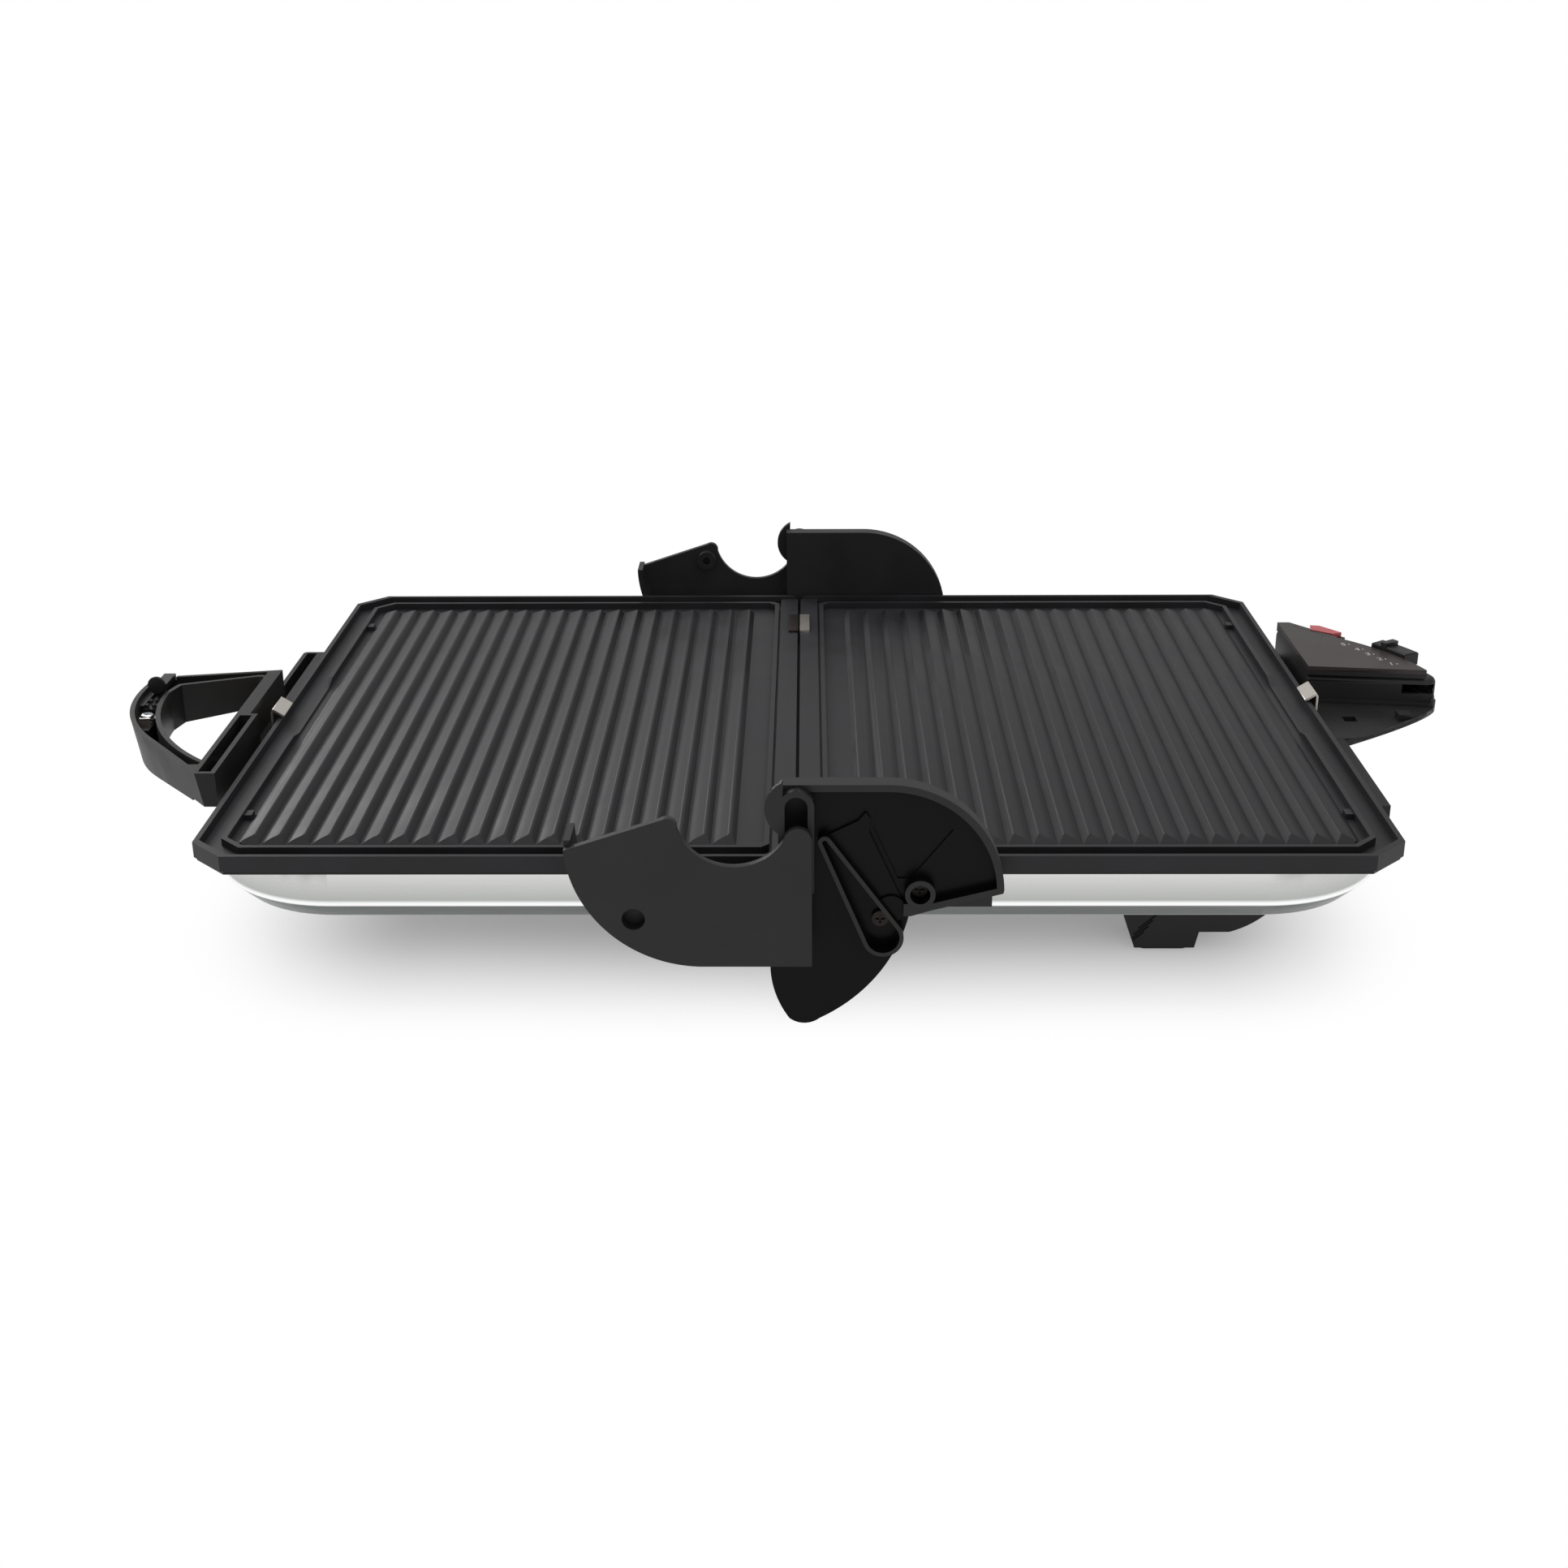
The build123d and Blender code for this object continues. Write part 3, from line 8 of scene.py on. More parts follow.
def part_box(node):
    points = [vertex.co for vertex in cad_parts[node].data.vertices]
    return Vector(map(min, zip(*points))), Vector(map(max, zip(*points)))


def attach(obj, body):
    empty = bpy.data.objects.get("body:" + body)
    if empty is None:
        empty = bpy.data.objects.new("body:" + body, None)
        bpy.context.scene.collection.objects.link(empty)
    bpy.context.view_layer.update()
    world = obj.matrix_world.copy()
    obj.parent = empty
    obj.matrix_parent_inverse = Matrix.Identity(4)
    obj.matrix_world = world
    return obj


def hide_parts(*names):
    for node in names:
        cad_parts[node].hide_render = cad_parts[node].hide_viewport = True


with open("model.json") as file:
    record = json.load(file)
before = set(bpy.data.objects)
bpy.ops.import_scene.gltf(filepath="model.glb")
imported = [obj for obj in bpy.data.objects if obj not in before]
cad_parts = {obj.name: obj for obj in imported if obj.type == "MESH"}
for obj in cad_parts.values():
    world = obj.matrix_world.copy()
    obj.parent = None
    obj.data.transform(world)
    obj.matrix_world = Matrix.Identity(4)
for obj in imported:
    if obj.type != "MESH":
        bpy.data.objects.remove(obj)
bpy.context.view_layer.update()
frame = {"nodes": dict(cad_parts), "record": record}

nodes = frame["nodes"]
mm = 0.001
bpy.ops.object.select_all(action="DESELECT")


# Materials

def linear(code):
    """An sRGB hex code as the linear colour that a shader takes."""
    channels = [int(code[i:i + 2], 16) / 255 for i in (1, 3, 5)]
    return [c / 12.92 if c <= 0.04045 else ((c + 0.055) / 1.055) ** 2.4 for c in channels] + [1.0]


def add_node(tree, kind, *plugs, **settings):
    """A node with its settings; a plug is (input, value) or (input, source node, output)."""
    made = tree.nodes.new("ShaderNode" + kind)
    for name, value in settings.items():
        setattr(made, name, value)
    for socket, source, *output in plugs:
        if output:
            tree.links.new(source.outputs[output[0]], made.inputs[socket])
        else:
            made.inputs[socket].default_value = source
    return made


def new_material(name, level=0.5, metal=0.0):
    """A material with its node tree, its shader and the place on the object."""
    material = bpy.data.materials.new(name)
    material.use_nodes = True
    tree = material.node_tree
    shader = tree.nodes["Principled BSDF"]
    shader.inputs["Specular IOR Level"].default_value = level
    shader.inputs["Metallic"].default_value = metal
    return material, tree, shader, add_node(tree, "TexCoord")


def mottled_skin(name, dark, light, level, gloss, cloud_size, grain_size, detail, relief):
    """Two close tones and a gloss that drift in clouds, over a fine grain; sizes are in mm."""
    material, tree, shader, place = new_material(name, level)
    clouds = add_node(
        tree, "TexNoise", ("Vector", place, "Object"), ("Scale", 1 / (cloud_size * mm)),
        ("Detail", detail),
    )
    tone = add_node(tree, "ValToRGB", ("Fac", clouds, "Fac"))
    for stop, position, code in zip(tone.color_ramp.elements, (0.35, 0.65), (dark, light)):
        stop.position, stop.color = position, linear(code)
    tree.links.new(tone.outputs["Color"], shader.inputs["Base Color"])
    drift = add_node(
        tree, "MapRange", ("Value", clouds, "Fac"), ("From Min", 0.3), ("From Max", 0.7),
        ("To Min", gloss[0]), ("To Max", gloss[1]),
    )
    tree.links.new(drift.outputs["Result"], shader.inputs["Roughness"])
    grains = add_node(
        tree, "TexNoise", ("Vector", place, "Object"), ("Scale", 1 / (grain_size * mm)),
        ("Detail", detail),
    )
    strength, height = relief
    skin = add_node(
        tree, "Bump", ("Height", grains, "Fac"), ("Strength", strength), ("Distance", height * mm)
    )
    tree.links.new(skin.outputs["Normal"], shader.inputs["Normal"])
    return material


def fine_grained(name, dark, light, roughness, level=0.28):
    """A moulded, fired or sprayed skin: a wandering gloss, and a grain 0.5 mm apart as a
    spark-eroded mould leaves it."""
    gloss = (roughness - 0.04, roughness + 0.05)
    return mottled_skin(
        name, dark, light, level, gloss, cloud_size=25, grain_size=0.5, detail=2,
        relief=(0.22, 0.04),
    )


def coated_casting(name, dark, light):
    """Sprayed non-stick on a casting: a soft sheen and a skin rippled 0.8 mm apart."""
    return mottled_skin(
        name, dark, light, 0.25, (0.42, 0.52), cloud_size=30, grain_size=0.8, detail=3,
        relief=(0.25, 0.06),
    )


# Brushed and rolled metal: streaks 0.6 mm apart, drawn coarser than the real ones so that they
# show, and about thirty times as long, along X
streak_gap = 0.6
streak_stretch = (0.03, 1, 1)


def streaked_metal(name, gloss, detail):
    """Bare metal whose gloss changes in streaks."""
    material, tree, shader, place = new_material(name, metal=1.0)
    along = add_node(tree, "Mapping", ("Vector", place, "Object"), ("Scale", streak_stretch))
    streaks = add_node(
        tree, "TexNoise", ("Vector", along, "Vector"), ("Scale", 1 / (streak_gap * mm)),
        ("Detail", detail),
    )
    drift = add_node(
        tree, "MapRange", ("Value", streaks, "Fac"), ("From Min", 0.3), ("From Max", 0.7),
        ("To Min", gloss[0]), ("To Max", gloss[1]),
    )
    tree.links.new(drift.outputs["Result"], shader.inputs["Roughness"])
    return material, tree, shader, place, streaks


def rolled_sheet(name, tone, roughness):
    """Rolled metal: long faint streaks in its gloss and its skin."""
    gloss = (roughness - 0.05, roughness + 0.08)
    material, tree, shader, _, streaks = streaked_metal(name, gloss, detail=4)
    shader.inputs["Base Color"].default_value = linear(tone)
    skin = add_node(
        tree, "Bump", ("Height", streaks, "Fac"), ("Strength", 0.1), ("Distance", 0.02 * mm)
    )
    tree.links.new(skin.outputs["Normal"], shader.inputs["Normal"])
    return material


pan_low, pan_high = (corner[2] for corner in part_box("base_pan"))


def bent_sheet(name, painted_shade_band, painted_highlight_line, wall):
    """Stainless sheet bent into a pan, banded by height with painted light: a pale flat, a dark
    band of painted shade reflected from the floor, a painted highlight line, and a wall that
    pales towards the rim as painted reflection.
    """
    material, tree, shader, place, _ = streaked_metal(name, (0.26, 0.34), detail=3)
    apart = add_node(tree, "SeparateXYZ", ("Vector", place, "Object"))
    height = add_node(
        tree, "MapRange", ("Value", apart, "Z"), ("From Min", pan_low), ("From Max", pan_high)
    )
    bands = add_node(tree, "ValToRGB", ("Fac", height, "Result"))
    stops = bands.color_ramp.elements
    # as shares of the pan's height, from the flat up to the rim; the dark band, the bright line
    # and the paling wall are painted light
    for position, code in ((0.03, painted_shade_band), (0.33, painted_shade_band), (0.37, painted_highlight_line), (0.41, painted_highlight_line), (0.47, wall[0])):
        stops.new(position).color = linear(code)
    stops[0].color, stops[-1].color = linear(wall[0]), linear(wall[1])
    tree.links.new(bands.outputs["Color"], shader.inputs["Base Color"])
    return material


# satin charcoal skin that a spark-eroded mould leaves
charcoal_nylon = fine_grained("charcoal_glass_filled_nylon", "#1b1a1a", "#201f1f", 0.45)
# the same nylon, darker and a little glossy: painted shade for the bracket's recessed tray
shaded_nylon = fine_grained("black_nylon_painted_shade", "#090707", "#0d0b0b", 0.3, level=0.1)

finishes = {
    # PTFE sprayed on die-cast aluminium: near black, with a soft grey sheen on the ridges
    "grill_coating": coated_casting("nonstick_on_cast_aluminium", "#1c1c1e", "#222225"),
    # bent stainless sheet: bright sides that mirror the white room; its dark band, white line and
    # paling towards the rim are painted shade, highlight and reflection
    "pan_steel": bent_sheet("stainless_sheet_painted_bands", "#5d6360", "#ffffff", ("#b4b6b4", "#d9d9d7")),
    # stove enamel on steel: an even black between plate and pan
    "frame_steel": fine_grained("black_stove_enamel", "#121212", "#171717", 0.35),
    # sheathed heating element, dulled by heat: a brownish grey
    "heater_tube": rolled_sheet("heated_element_sheath", "#5c5a57", 0.5),
    # bright rolled aluminium: a pale mirror behind the element
    "reflector_sheet": rolled_sheet("bright_aluminium_sheet", "#d0d0d0", 0.25),
    # fired steatite: chalky and off-white
    "terminal_ceramic": fine_grained("fired_steatite", "#d8d2c4", "#e2ddd0", 0.6),
    # satin spring steel: pale warm grey
    "clip_steel": rolled_sheet("satin_spring_steel", "#cfc9c2", 0.34),
    "black_plastic": charcoal_nylon,
    # phenolic of the handle: grey-black and satin
    "grip_plastic": fine_grained("charcoal_phenolic", "#181616", "#1e1c1b", 0.45, level=0.22),
    # brown-grey ABS with a satin skin
    "cover_plastic": fine_grained("satin_brown_grey_abs", "#2b2524", "#312b29", 0.36),
    # black ABS of slider and latch: darker than the housing round it
    "knob_plastic": fine_grained("black_abs", "#161515", "#1b1a1a", 0.36),
    # clear acrylic, dyed red: a glossy dull red while the lamp is off
    "lens_plastic": fine_grained("red_acrylic", "#a2333a", "#ac3d43", 0.16, level=0.5),
    # glass of a neon lamp: amber and glossy
    "lamp_glass": fine_grained("neon_lamp_glass", "#c98a5a", "#d49a6a", 0.15, level=0.5),
    # brown phenolic of the thermostat: dull
    "thermostat_body": fine_grained("brown_phenolic", "#6e6250", "#786c58", 0.5),
    # zinc plate: bright and slightly blue
    "screw_steel": rolled_sheet("zinc_plated_steel", "#cfd1d3", 0.22),
    # rubber of the foot pads: matt black; the strip in the gap takes it as painted shade
    "pad_rubber": fine_grained("black_rubber", "#151515", "#1a1a1a", 0.7),
}
# black phosphate on the screws that hold brackets and arms: dark brown-grey
blackened_steel = rolled_sheet("blackened_screw_steel", "#2c2928", 0.4)
# steel of the lid's hinge hooks, coloured darker than the base's
darker_hook_steel = rolled_sheet("lid_hook_steel", "#4a4240", 0.35)
# pad-printed ink of the control's scale: pale, matt and very thin
ink = fine_grained("pale_grey_ink", "#9b9794", "#b3afab", 0.55)

for part in frame["record"]["subparts"]:
    piece = nodes[part["node"]]
    piece.data.materials.clear()
    piece.data.materials.append(finishes[part["material_slot"]])
for name in ("bracket_screws", "arm_screws"):
    nodes[name].data.materials[0] = blackened_steel
nodes["lid_plate_hooks"].data.materials[0] = darker_hook_steel
# the strip under the new lens belongs to the cover here
nodes["indicator_lens"].data.materials[0] = finishes["cover_plastic"]


# Modelling, all in millimetres

def pick(pieces):
    """Select pieces only, the first one active."""
    bpy.ops.object.select_all(action="DESELECT")
    for piece in pieces:
        piece.select_set(True)
    bpy.context.view_layer.objects.active = pieces[0]


def face_outwards():
    """Turn the active piece's faces outwards, and leave edit mode."""
    bpy.ops.mesh.select_all(action="SELECT")
    bpy.ops.mesh.normals_make_consistent(inside=False)
    bpy.ops.object.mode_set(mode="OBJECT")


def own_copy(source, name):
    """A free copy with its own mesh, active and selected."""
    copy = source.copy()
    copy.data = source.data.copy()
    copy.parent = None
    copy.name = name
    bpy.context.scene.collection.objects.link(copy)
    pick([copy])
    return copy


def merged_copy(node, name):
    """A copy of a CAD node's mesh with its loose triangles joined up."""
    copy = own_copy(nodes[node], name)
    bpy.ops.object.mode_set(mode="EDIT")
    bpy.ops.mesh.select_all(action="SELECT")
    bpy.ops.mesh.remove_doubles(threshold=0.002 * mm)
    bpy.ops.object.mode_set(mode="OBJECT")
    return copy


def side_prism(points, low, high):
    """A prism along Y from an outline in X and height."""
    bpy.ops.mesh.primitive_circle_add(vertices=len(points), fill_type="NGON")
    prism = bpy.context.object
    for vertex, (x, z) in zip(prism.data.vertices, points):
        vertex.co = (x * mm, low * mm, z * mm)
    bpy.ops.object.mode_set(mode="EDIT")
    bpy.ops.mesh.select_all(action="SELECT")
    bpy.ops.mesh.extrude_region_move(TRANSFORM_OT_translate={"value": (0, (high - low) * mm, 0)})
    face_outwards()
    return prism


def flat_prism(points, low, high):
    """An upright prism from an outline in X and Y."""
    prism = side_prism(points, 0, 1)
    for corner in prism.data.vertices:
        x, side, y = corner.co / mm
        corner.co = (x * mm, y * mm, (high if side > 0.5 else low) * mm)
    return prism


def side_disc(x, z, radius, low, high):
    """A disc along Y."""
    bpy.ops.mesh.primitive_cylinder_add(
        vertices=64, radius=radius * mm, depth=(high - low) * mm, rotation=(radians(90), 0, 0),
        location=(x * mm, (low + high) / 2 * mm, z * mm),
    )
    bpy.ops.object.transform_apply(location=True, rotation=True, scale=True)
    return bpy.context.object


def cuboid(low, high):
    """A block between two corners."""
    bpy.ops.mesh.primitive_cube_add(size=1)
    block = bpy.context.object
    for corner in block.data.vertices:
        corner.co = [(b if c > 0 else a) * mm for a, b, c in zip(low, high, corner.co)]
    return block


def join_up(pieces):
    """One object of several, active and selected."""
    pick(pieces)
    if len(pieces) > 1:
        bpy.ops.object.join()
    return bpy.context.object


def convex(pieces):
    """The convex hull over several pieces, as one piece."""
    hull = join_up(pieces)
    bpy.ops.object.mode_set(mode="EDIT")
    bpy.ops.mesh.select_all(action="SELECT")
    bpy.ops.mesh.convex_hull()
    face_outwards()
    return hull


def combine(piece, tool, operation):
    """Join, cut or intersect a piece with a tool, which is used up."""
    pick([piece])
    modifier = piece.modifiers.new("combine", "BOOLEAN")
    modifier.object, modifier.operation, modifier.solver = tool, operation, "EXACT"
    bpy.ops.object.modifier_apply(modifier="combine")
    bpy.data.objects.remove(tool)


def cut(piece, tool):
    """Take a tool's form out of a piece."""
    combine(piece, tool, "DIFFERENCE")


def finish_piece(piece, body, materials, name=None):
    """Give a new piece its materials and the body that it rides."""
    if name:
        piece.name = name
    piece.data.materials.clear()
    for material in materials:
        piece.data.materials.append(material)
    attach(piece, body)


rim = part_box("base_grill_plate")[1][2] / mm  # height of the plates' rims

# The side brackets, shaped on the near one: an open tray inside the rim, with a cup for a screw,
# a raised field beside it and a sunk fan above. Heights in field and fan count from the rims.
web_face, rim_face = -167.0, -171.3  # the web's outer face and the rim's
past_rim, past_web = rim_face - 2, web_face + 1  # where tools start and end
arc_centre, arc_radius = (32, rim - 10), 38.9
boss = (43.8, rim - 10.2, 5.4)  # X, height and radius of the screw boss
slot_reach, slot_top = 6.3, rim + 24.5  # the wall round the hinge slot

tray = [(0, rim + 28.9)]
for step in range(23):
    turn = radians(90 - 4 * step)
    tray.append((arc_centre[0] + arc_radius * cos(turn), arc_centre[1] + arc_radius * sin(turn)))
tray += [(70.7, rim - 8.1), (47.4, rim - 14.0), (38, rim - 14.0), (38, rim - 12), (0, rim - 12)]
field = [
    (9.7, 10.7), (21.8, 16.8), (24.4, 20.0), (26.0, 17.5), (25.6, 12.5), (37.5, -13.7), (20, -15)
]
fan_bend, fan_radius = (34, -14.4), 37.7
fan = [(28.4, 23.0)]
for x in range(31, 55, 3):
    fan.append((x, fan_bend[1] + sqrt(fan_radius ** 2 - (x - fan_bend[0]) ** 2)))
fan += [(55.3, 12.6), (40.5, -6.0), (36.0, -6.0), (26.9, 14.0)]


def cup(grow, low, high):
    """The tapered screw cup's outline as a solid, grown all round."""
    return convex([
        side_disc(10.0, rim + 9.9, 2.4 + grow, low, high),
        side_disc(30.8, rim - 27.1, 7.4 + grow, low, high),
    ])


slot_wall = [
    (-7, rim - 20), (slot_reach, rim - 20), (slot_reach, slot_top), (-7, slot_top)
]
bracket = merged_copy("near_bracket", "near_side_bracket")
hollow = side_prism(tray, rim_face - 0.5, web_face)
cut(hollow, cup(0, past_rim, past_web))
cut(hollow, side_disc(*boss, past_rim, past_web))
cut(hollow, side_prism(slot_wall, past_rim, past_web))
cut(hollow, side_disc(0, slot_top, slot_reach, past_rim, past_web))
cut(bracket, hollow)
field_prism = side_prism([(x, rim + h) for x, h in field], web_face - 1.4, past_web)
cut(field_prism, cup(-0.7, past_rim, web_face + 2))
combine(bracket, field_prism, "UNION")
combine(bracket, side_disc(33.6, rim - 16.9, 5.2, web_face - 2.6, past_web), "UNION")
cut(bracket, cup(-1.5, past_rim, web_face + 1.6))
fan_prism = side_prism([(x, rim + h) for x, h in fan], web_face - 0.5, web_face + 0.8)
cut(fan_prism, side_disc(*boss, past_rim, past_web))
cut(bracket, fan_prism)

# The tray's inside and the web's faces low down get the darker nylon as painted shade; rim, slot
# wall and back are satin.
finish_piece(bracket, "base", (charcoal_nylon, shaded_nylon))
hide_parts("near_bracket")
tray_reach = arc_radius + 0.3
for face in bracket.data.polygons:
    x, y, z = (c / mm for c in face.center)
    out = sqrt((x - arc_centre[0]) ** 2 + (z - arc_centre[1]) ** 2)
    inside = x > slot_reach + 0.1 and z > rim - 15.9 and out < tray_reach and z < rim + 29.2
    if web_face - 4.2 < y < web_face + 2.9 and (inside or z < rim - 6):
        face.material_index = 1

far_side = own_copy(bracket, "far_side_bracket")
far_side.scale = (1, -1, 1)
bpy.ops.object.transform_apply(location=False, rotation=False, scale=True)
bpy.ops.object.mode_set(mode="EDIT")
face_outwards()
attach(far_side, "base")
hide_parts("far_bracket")

# The control block: its underside rises to a thin edge under the ledge.
ledge_z = rim - 10
edge_start, edge_end = (231, -17), (282, 28)  # the ledge's edge in X and Y
edge_thickness = 4.0
keel_slope = 0.45
floor_thickness = 2
window_places = (239.0, 262.0)  # X of the two windows in the ledge
window_reach = 2.8
keel_middle, keel_reach, keel_depth = 30, 150, 60  # the slab passes the block on every side


def keel_slab(low, high):
    """A wide slab along the rising underside, between two heights over it."""
    bpy.ops.mesh.primitive_cube_add(size=1)
    slab = bpy.context.object
    run_x, run_y = edge_end[0] - edge_start[0], edge_end[1] - edge_start[1]
    length = sqrt(run_x ** 2 + run_y ** 2)
    along = Vector((run_x / length, run_y / length, 0))
    inward = Vector((-along.y, along.x, -keel_slope)).normalized()
    upward = along.cross(inward)
    start = Vector((*edge_start, ledge_z - edge_thickness))
    for corner in slab.data.vertices:
        side, depth, rise = corner.co * 2
        level = high if rise > 0 else low
        forward = along * (keel_middle + keel_reach * side)
        deep = inward * keel_reach * depth
        corner.co = (start + forward + deep + upward * level) * mm
    return slab


control_block = merged_copy("control_housing", "control_block")
floor_plate = convex([merged_copy("control_housing", "floor_plate")])
combine(floor_plate, keel_slab(0, floor_thickness), "INTERSECT")
cut(control_block, keel_slab(-keel_depth, 0))
combine(control_block, floor_plate, "UNION")
for x in window_places:
    low, high = (x - window_reach, 4.0, ledge_z - 3.2), (x + window_reach, 10.0, ledge_z + 3)
    cut(control_block, cuboid(low, high))
# the latch slot's wall at the nose
slot_end = convex([merged_copy("control_housing", "slot_end")])
combine(slot_end, cuboid((278.7, 18, rim - 6.5), (290, 24, rim - 0.5)), "INTERSECT")
combine(control_block, slot_end, "UNION")
finish_piece(control_block, "base", (finishes["black_plastic"],))
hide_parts("control_housing")

# The handle: its outer wall stands steeper and reaches further at the nose, and the near end is
# closed. X counts away from the hinge here, and h is the height over the rims.
nose_turn = radians(38)
wall_top, wall_low = 6, -8
outer_wall = 2.8  # what lies this close to the old outer face belongs to the wall's top
least_wall = 1.8
latch_end = 12.5  # past this Y the wall's inside stays where the latch runs
nose_x, nose_blend = 278.7, 2
end_y, end_cut = -95.5, -86
bar_x = 225.3


def wall_reach(y, radius, centre):
    """How far the rounded triangle reaches in X at a place along the handle."""
    tangent = radius * sin(nose_turn)
    if abs(y) < tangent:
        return centre + sqrt(radius ** 2 - y ** 2)
    return centre + radius * cos(nose_turn) - (abs(y) - tangent) * tan(nose_turn)


def old_wall(y, h):
    """The CAD's outer face, which leans out going down."""
    return wall_reach(y, 100 + (wall_top - h) * 5 / 14, 181.0)


def steep_wall(y, h):
    """The outer face in the photograph, which leans in a little."""
    return wall_reach(y, 91 - (wall_top - h) * 2 / 14, 192.4)


handle = merged_copy("handle", "loop_handle")
# the CAD's near end, which a closed block replaces
cut(handle, cuboid((-320, -120, rim - 40), (-190, end_cut, rim + 40)))
for vertex in handle.data.vertices:
    x, y, h = -vertex.co.x / mm, vertex.co.y / mm, vertex.co.z / mm - rim
    shift = steep_wall(y, h) - old_wall(y, h)
    if y > latch_end:
        shift *= min(max((x - nose_x) / nose_blend, 0), 1)
    elif old_wall(y, h) - x > outer_wall:
        shift = min(steep_wall(y, h) - least_wall - x, 0)
    vertex.co.x -= shift * mm
end_cap = cuboid((0, 0, 0), (1, 1, 1))
for corner in end_cap.data.vertices:
    near_bar, inner, up = (v > 0 for v in corner.co)
    y, h = (end_cut + 0.1 if inner else end_y), (wall_top if up else wall_low)
    x = bar_x if near_bar else steep_wall(y, h)
    corner.co = (-x * mm, y * mm, (rim + h) * mm)
# the channel along the bar runs on into the block
cut(end_cap, cuboid((-bar_x - 7, end_y + 2, rim - 5.5), (-bar_x - 2, -84, rim + 7)))
handle = join_up([handle, end_cap])
finish_piece(handle, "lid", (finishes["grip_plastic"],))
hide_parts("handle")

# A dark strip fills the gap between the two halves under the plates: painted shade for the gap's
# dark depth.
gap_shade_strip = side_prism([(-1.3, 39), (1.5, 39), (1.5, 57.6), (-1.3, 57.6)], -158, 158)
finish_piece(gap_shade_strip, "base", (finishes["pad_rubber"],), "gap_shade_strip")

# The lens lies along the cover's edge, further out than the CAD's strip, which has the cover's
# plastic here.
lens_outline = [(238.1, 83.2), (246.8, 76.8), (251.3, 78.7), (243.5, 89.2), (239.3, 90.0)]
lens = convex([flat_prism(lens_outline, rim + 4.2, rim + 6.3)])
finish_piece(lens, "base", (finishes["lens_plastic"],), "lens_cap")

# The latch's thumb tab is a broad round paddle.
tab = side_disc(-276.4, rim + 7.9, 3.9, 1.8, 3.3)
finish_piece(tab, "latch", (finishes["knob_plastic"],), "latch_tab")


# Moulded, cast and bent edges are slightly rounded, and catch the light.

def round_edges(piece, radius):
    """Join up a piece's triangles and round its sharp edges, live."""
    weld = piece.modifiers.new("weld", "WELD")
    weld.merge_threshold = 0.001 * mm
    bevel = piece.modifiers.new("edge", "BEVEL")
    bevel.width = radius * mm
    bevel.segments = 2
    bevel.limit_method = "ANGLE"
    bevel.angle_limit = radians(30)
    bevel.harden_normals = True


edge_radii = {
    "base_grill_plate": 0.7, "lid_grill_plate": 0.7, "base_pan": 0.3, "lid_pan": 0.3,
    "near_arm": 0.8, "far_arm": 0.8,
    "latch": 0.2, "lid_trim": 0.3, "base_trim": 0.3, "control_cover": 0.3,
    "temperature_slider": 0.2, "base_feet": 0.4, "base_plate_clip": 0.15, "lid_plate_clip": 0.15,
    "slide_blocks": 0.3, "base_frame": 0.2, "lid_frame": 0.2,
}
for name, radius in edge_radii.items():
    round_edges(nodes[name], radius)
new_piece_radii = (
    (bracket, 0.4), (far_side, 0.4), (control_block, 0.35), (handle, 0.35), (tab, 0.4)
)
for piece, radius in new_piece_radii:
    round_edges(piece, radius)


# Scale of the control: digits with a dot each, printed on the cover

cover_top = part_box("control_cover")[1][2]
digit_size, digit_depth = 5.0, 0.05
dot_radius, dot_depth = 0.45, 0.1
digit_step, dot_step = 0.1, 2.6  # from each place along X
scale_places = (
    ("5", 248.0, 61.8), ("4", 252.5, 54.7), ("3", 255.6, 47.7), ("2", 259.1, 40.8),
    ("1", 262.4, 34.0),
)
marks = []
for digit, x, y in scale_places:
    bpy.ops.object.text_add(location=((x + digit_step) * mm, y * mm, cover_top))
    text = bpy.context.object.data
    text.body = digit
    text.size = digit_size * mm
    text.align_x, text.align_y = "CENTER", "CENTER"
    text.extrude = digit_depth * mm
    bpy.ops.object.convert(target="MESH")
    marks.append(bpy.context.object)
    bpy.ops.mesh.primitive_cylinder_add(
        vertices=16, radius=dot_radius * mm, depth=dot_depth * mm,
        location=((x + dot_step) * mm, y * mm, cover_top),
    )
    marks.append(bpy.context.object)
scale_print = join_up(marks)
bpy.ops.object.transform_apply(location=True, rotation=True, scale=True)
finish_piece(scale_print, "base", (ink,), "scale_print")


# The photograph's camera, solved on the plates' corners

bpy.ops.object.camera_add()
camera = bpy.context.object
camera.data.sensor_width = 36
camera.data.lens = 46.85
camera.data.clip_end = 20
camera_place = (3.88 * mm, -826.15 * mm, 360.54 * mm)
camera_yaw, camera_dip, camera_roll = 0.704, 22, -0.327  # degrees
camera.matrix_world = (
    Matrix.Translation(camera_place)
    @ Matrix.Rotation(radians(camera_yaw), 4, "Z")
    @ Matrix.Rotation(radians(90 - camera_dip), 4, "X")
    @ Matrix.Rotation(radians(camera_roll), 4, "Z")
)
bpy.context.scene.camera = camera
bpy.context.scene.view_settings.view_transform = "Standard"


# Floor: white paper that shows the camera and mirrors its own white, and less of that near the
# object, where its shadow is seen. The shadow's place is a rounded box round the origin.

shadow_half = (0.150, 0.080, 0)
shadow_fade = 0.105
least_white = 0.22

bpy.ops.mesh.primitive_plane_add(size=12, location=(0, 0, 0))
floor = bpy.context.object
floor.name = "floor"
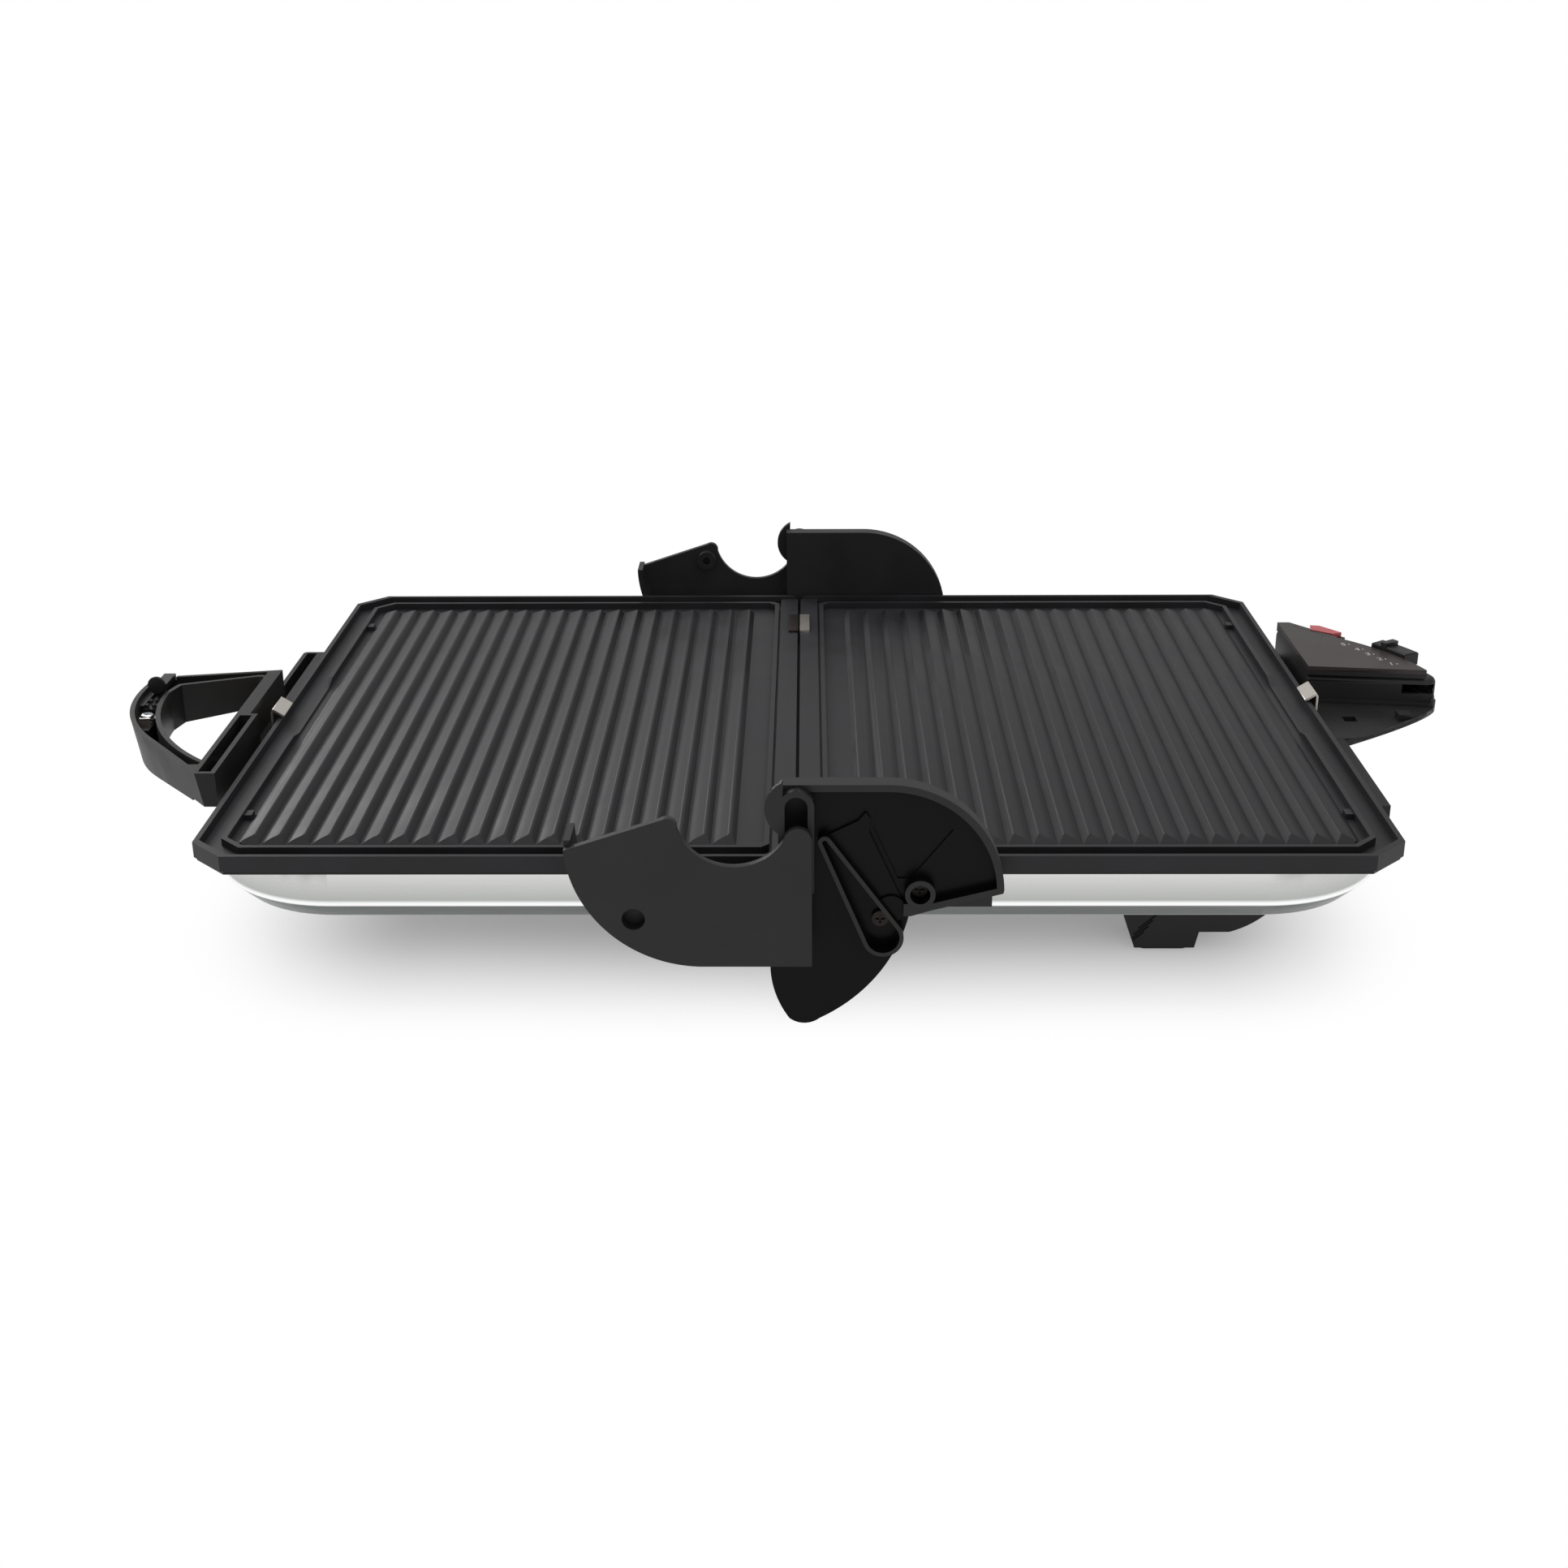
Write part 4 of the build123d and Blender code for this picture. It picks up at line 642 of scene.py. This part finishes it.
# uncoated paper: matt and nearly white
paper = bpy.data.materials.new("white_paper")
paper.use_nodes = True
tree = paper.node_tree
tree.nodes.remove(tree.nodes["Principled BSDF"])
matt = add_node(tree, "BsdfDiffuse", ("Color", linear("#f4f4f4")))
white = add_node(tree, "Emission", ("Color", linear("#ffffff")), ("Strength", 1.0))
path = add_node(tree, "LightPath")
seen = add_node(
    tree, "Math", (0, path, "Is Camera Ray"), (1, path, "Is Glossy Ray"), operation="MAXIMUM"
)
place = add_node(tree, "TexCoord")
folded = add_node(tree, "VectorMath", (0, place, "Object"), operation="ABSOLUTE")
outside = add_node(tree, "VectorMath", (0, folded, 0), (1, shadow_half), operation="SUBTRACT")
clear = add_node(tree, "VectorMath", (0, outside, 0), (1, (0, 0, 0)), operation="MAXIMUM")
distance = add_node(tree, "VectorMath", (0, clear, 0), operation="LENGTH")
share = add_node(
    tree, "MapRange", ("Value", distance, "Value"), ("From Min", 0.0), ("From Max", shadow_fade),
    ("To Min", least_white), ("To Max", 1.0), interpolation_type="SMOOTHSTEP",
)
part_white = add_node(tree, "Math", (0, seen, 0), (1, share, "Result"), operation="MULTIPLY")
mix = add_node(tree, "MixShader", (0, part_white, 0), (1, matt, 0), (2, white, 0))
tree.links.new(mix.outputs[0], tree.nodes["Material Output"].inputs["Surface"])
floor.data.materials.append(paper)

# World: a pale room that the camera sees as plain white
world = bpy.data.worlds.new("studio")
bpy.context.scene.world = world
world.use_nodes = True
tree = world.node_tree
room = tree.nodes["Background"]
room.inputs["Color"].default_value = linear("#f6f6f6")
room.inputs["Strength"].default_value = 0.6
backdrop = add_node(tree, "Background", ("Color", linear("#ffffff")), ("Strength", 1.0))
path = add_node(tree, "LightPath")
mix = add_node(tree, "MixShader", (0, path, "Is Camera Ray"), (1, room, 0), (2, backdrop, 0))
tree.links.new(mix.outputs[0], tree.nodes["World Output"].inputs["Surface"])


# Lamps

def softbox(name, place, target, size, power):
    """A rectangular lamp that faces its target; places are in metres, power in watts."""
    bpy.ops.object.light_add(type="AREA", location=place)
    lamp = bpy.context.object
    lamp.name = name
    lamp.data.shape = "RECTANGLE"
    lamp.data.size, lamp.data.size_y = size
    lamp.data.energy = power
    away = Vector(place) - Vector(target)
    lamp.rotation_euler = away.to_track_quat("Z", "Y").to_euler()


softbox("top_softbox", (0, 0.2, 1.7), (0, 0, 0), (1.8, 1.4), 16)
softbox("left_back_softbox", (-1.5, 1.5, 1.1), (-0.1, 0, 0), (1.0, 1.0), 19)
softbox("front_fill", (0.5, -1.9, 1.2), (0, 0, 0.05), (1.6, 1.0), 6)
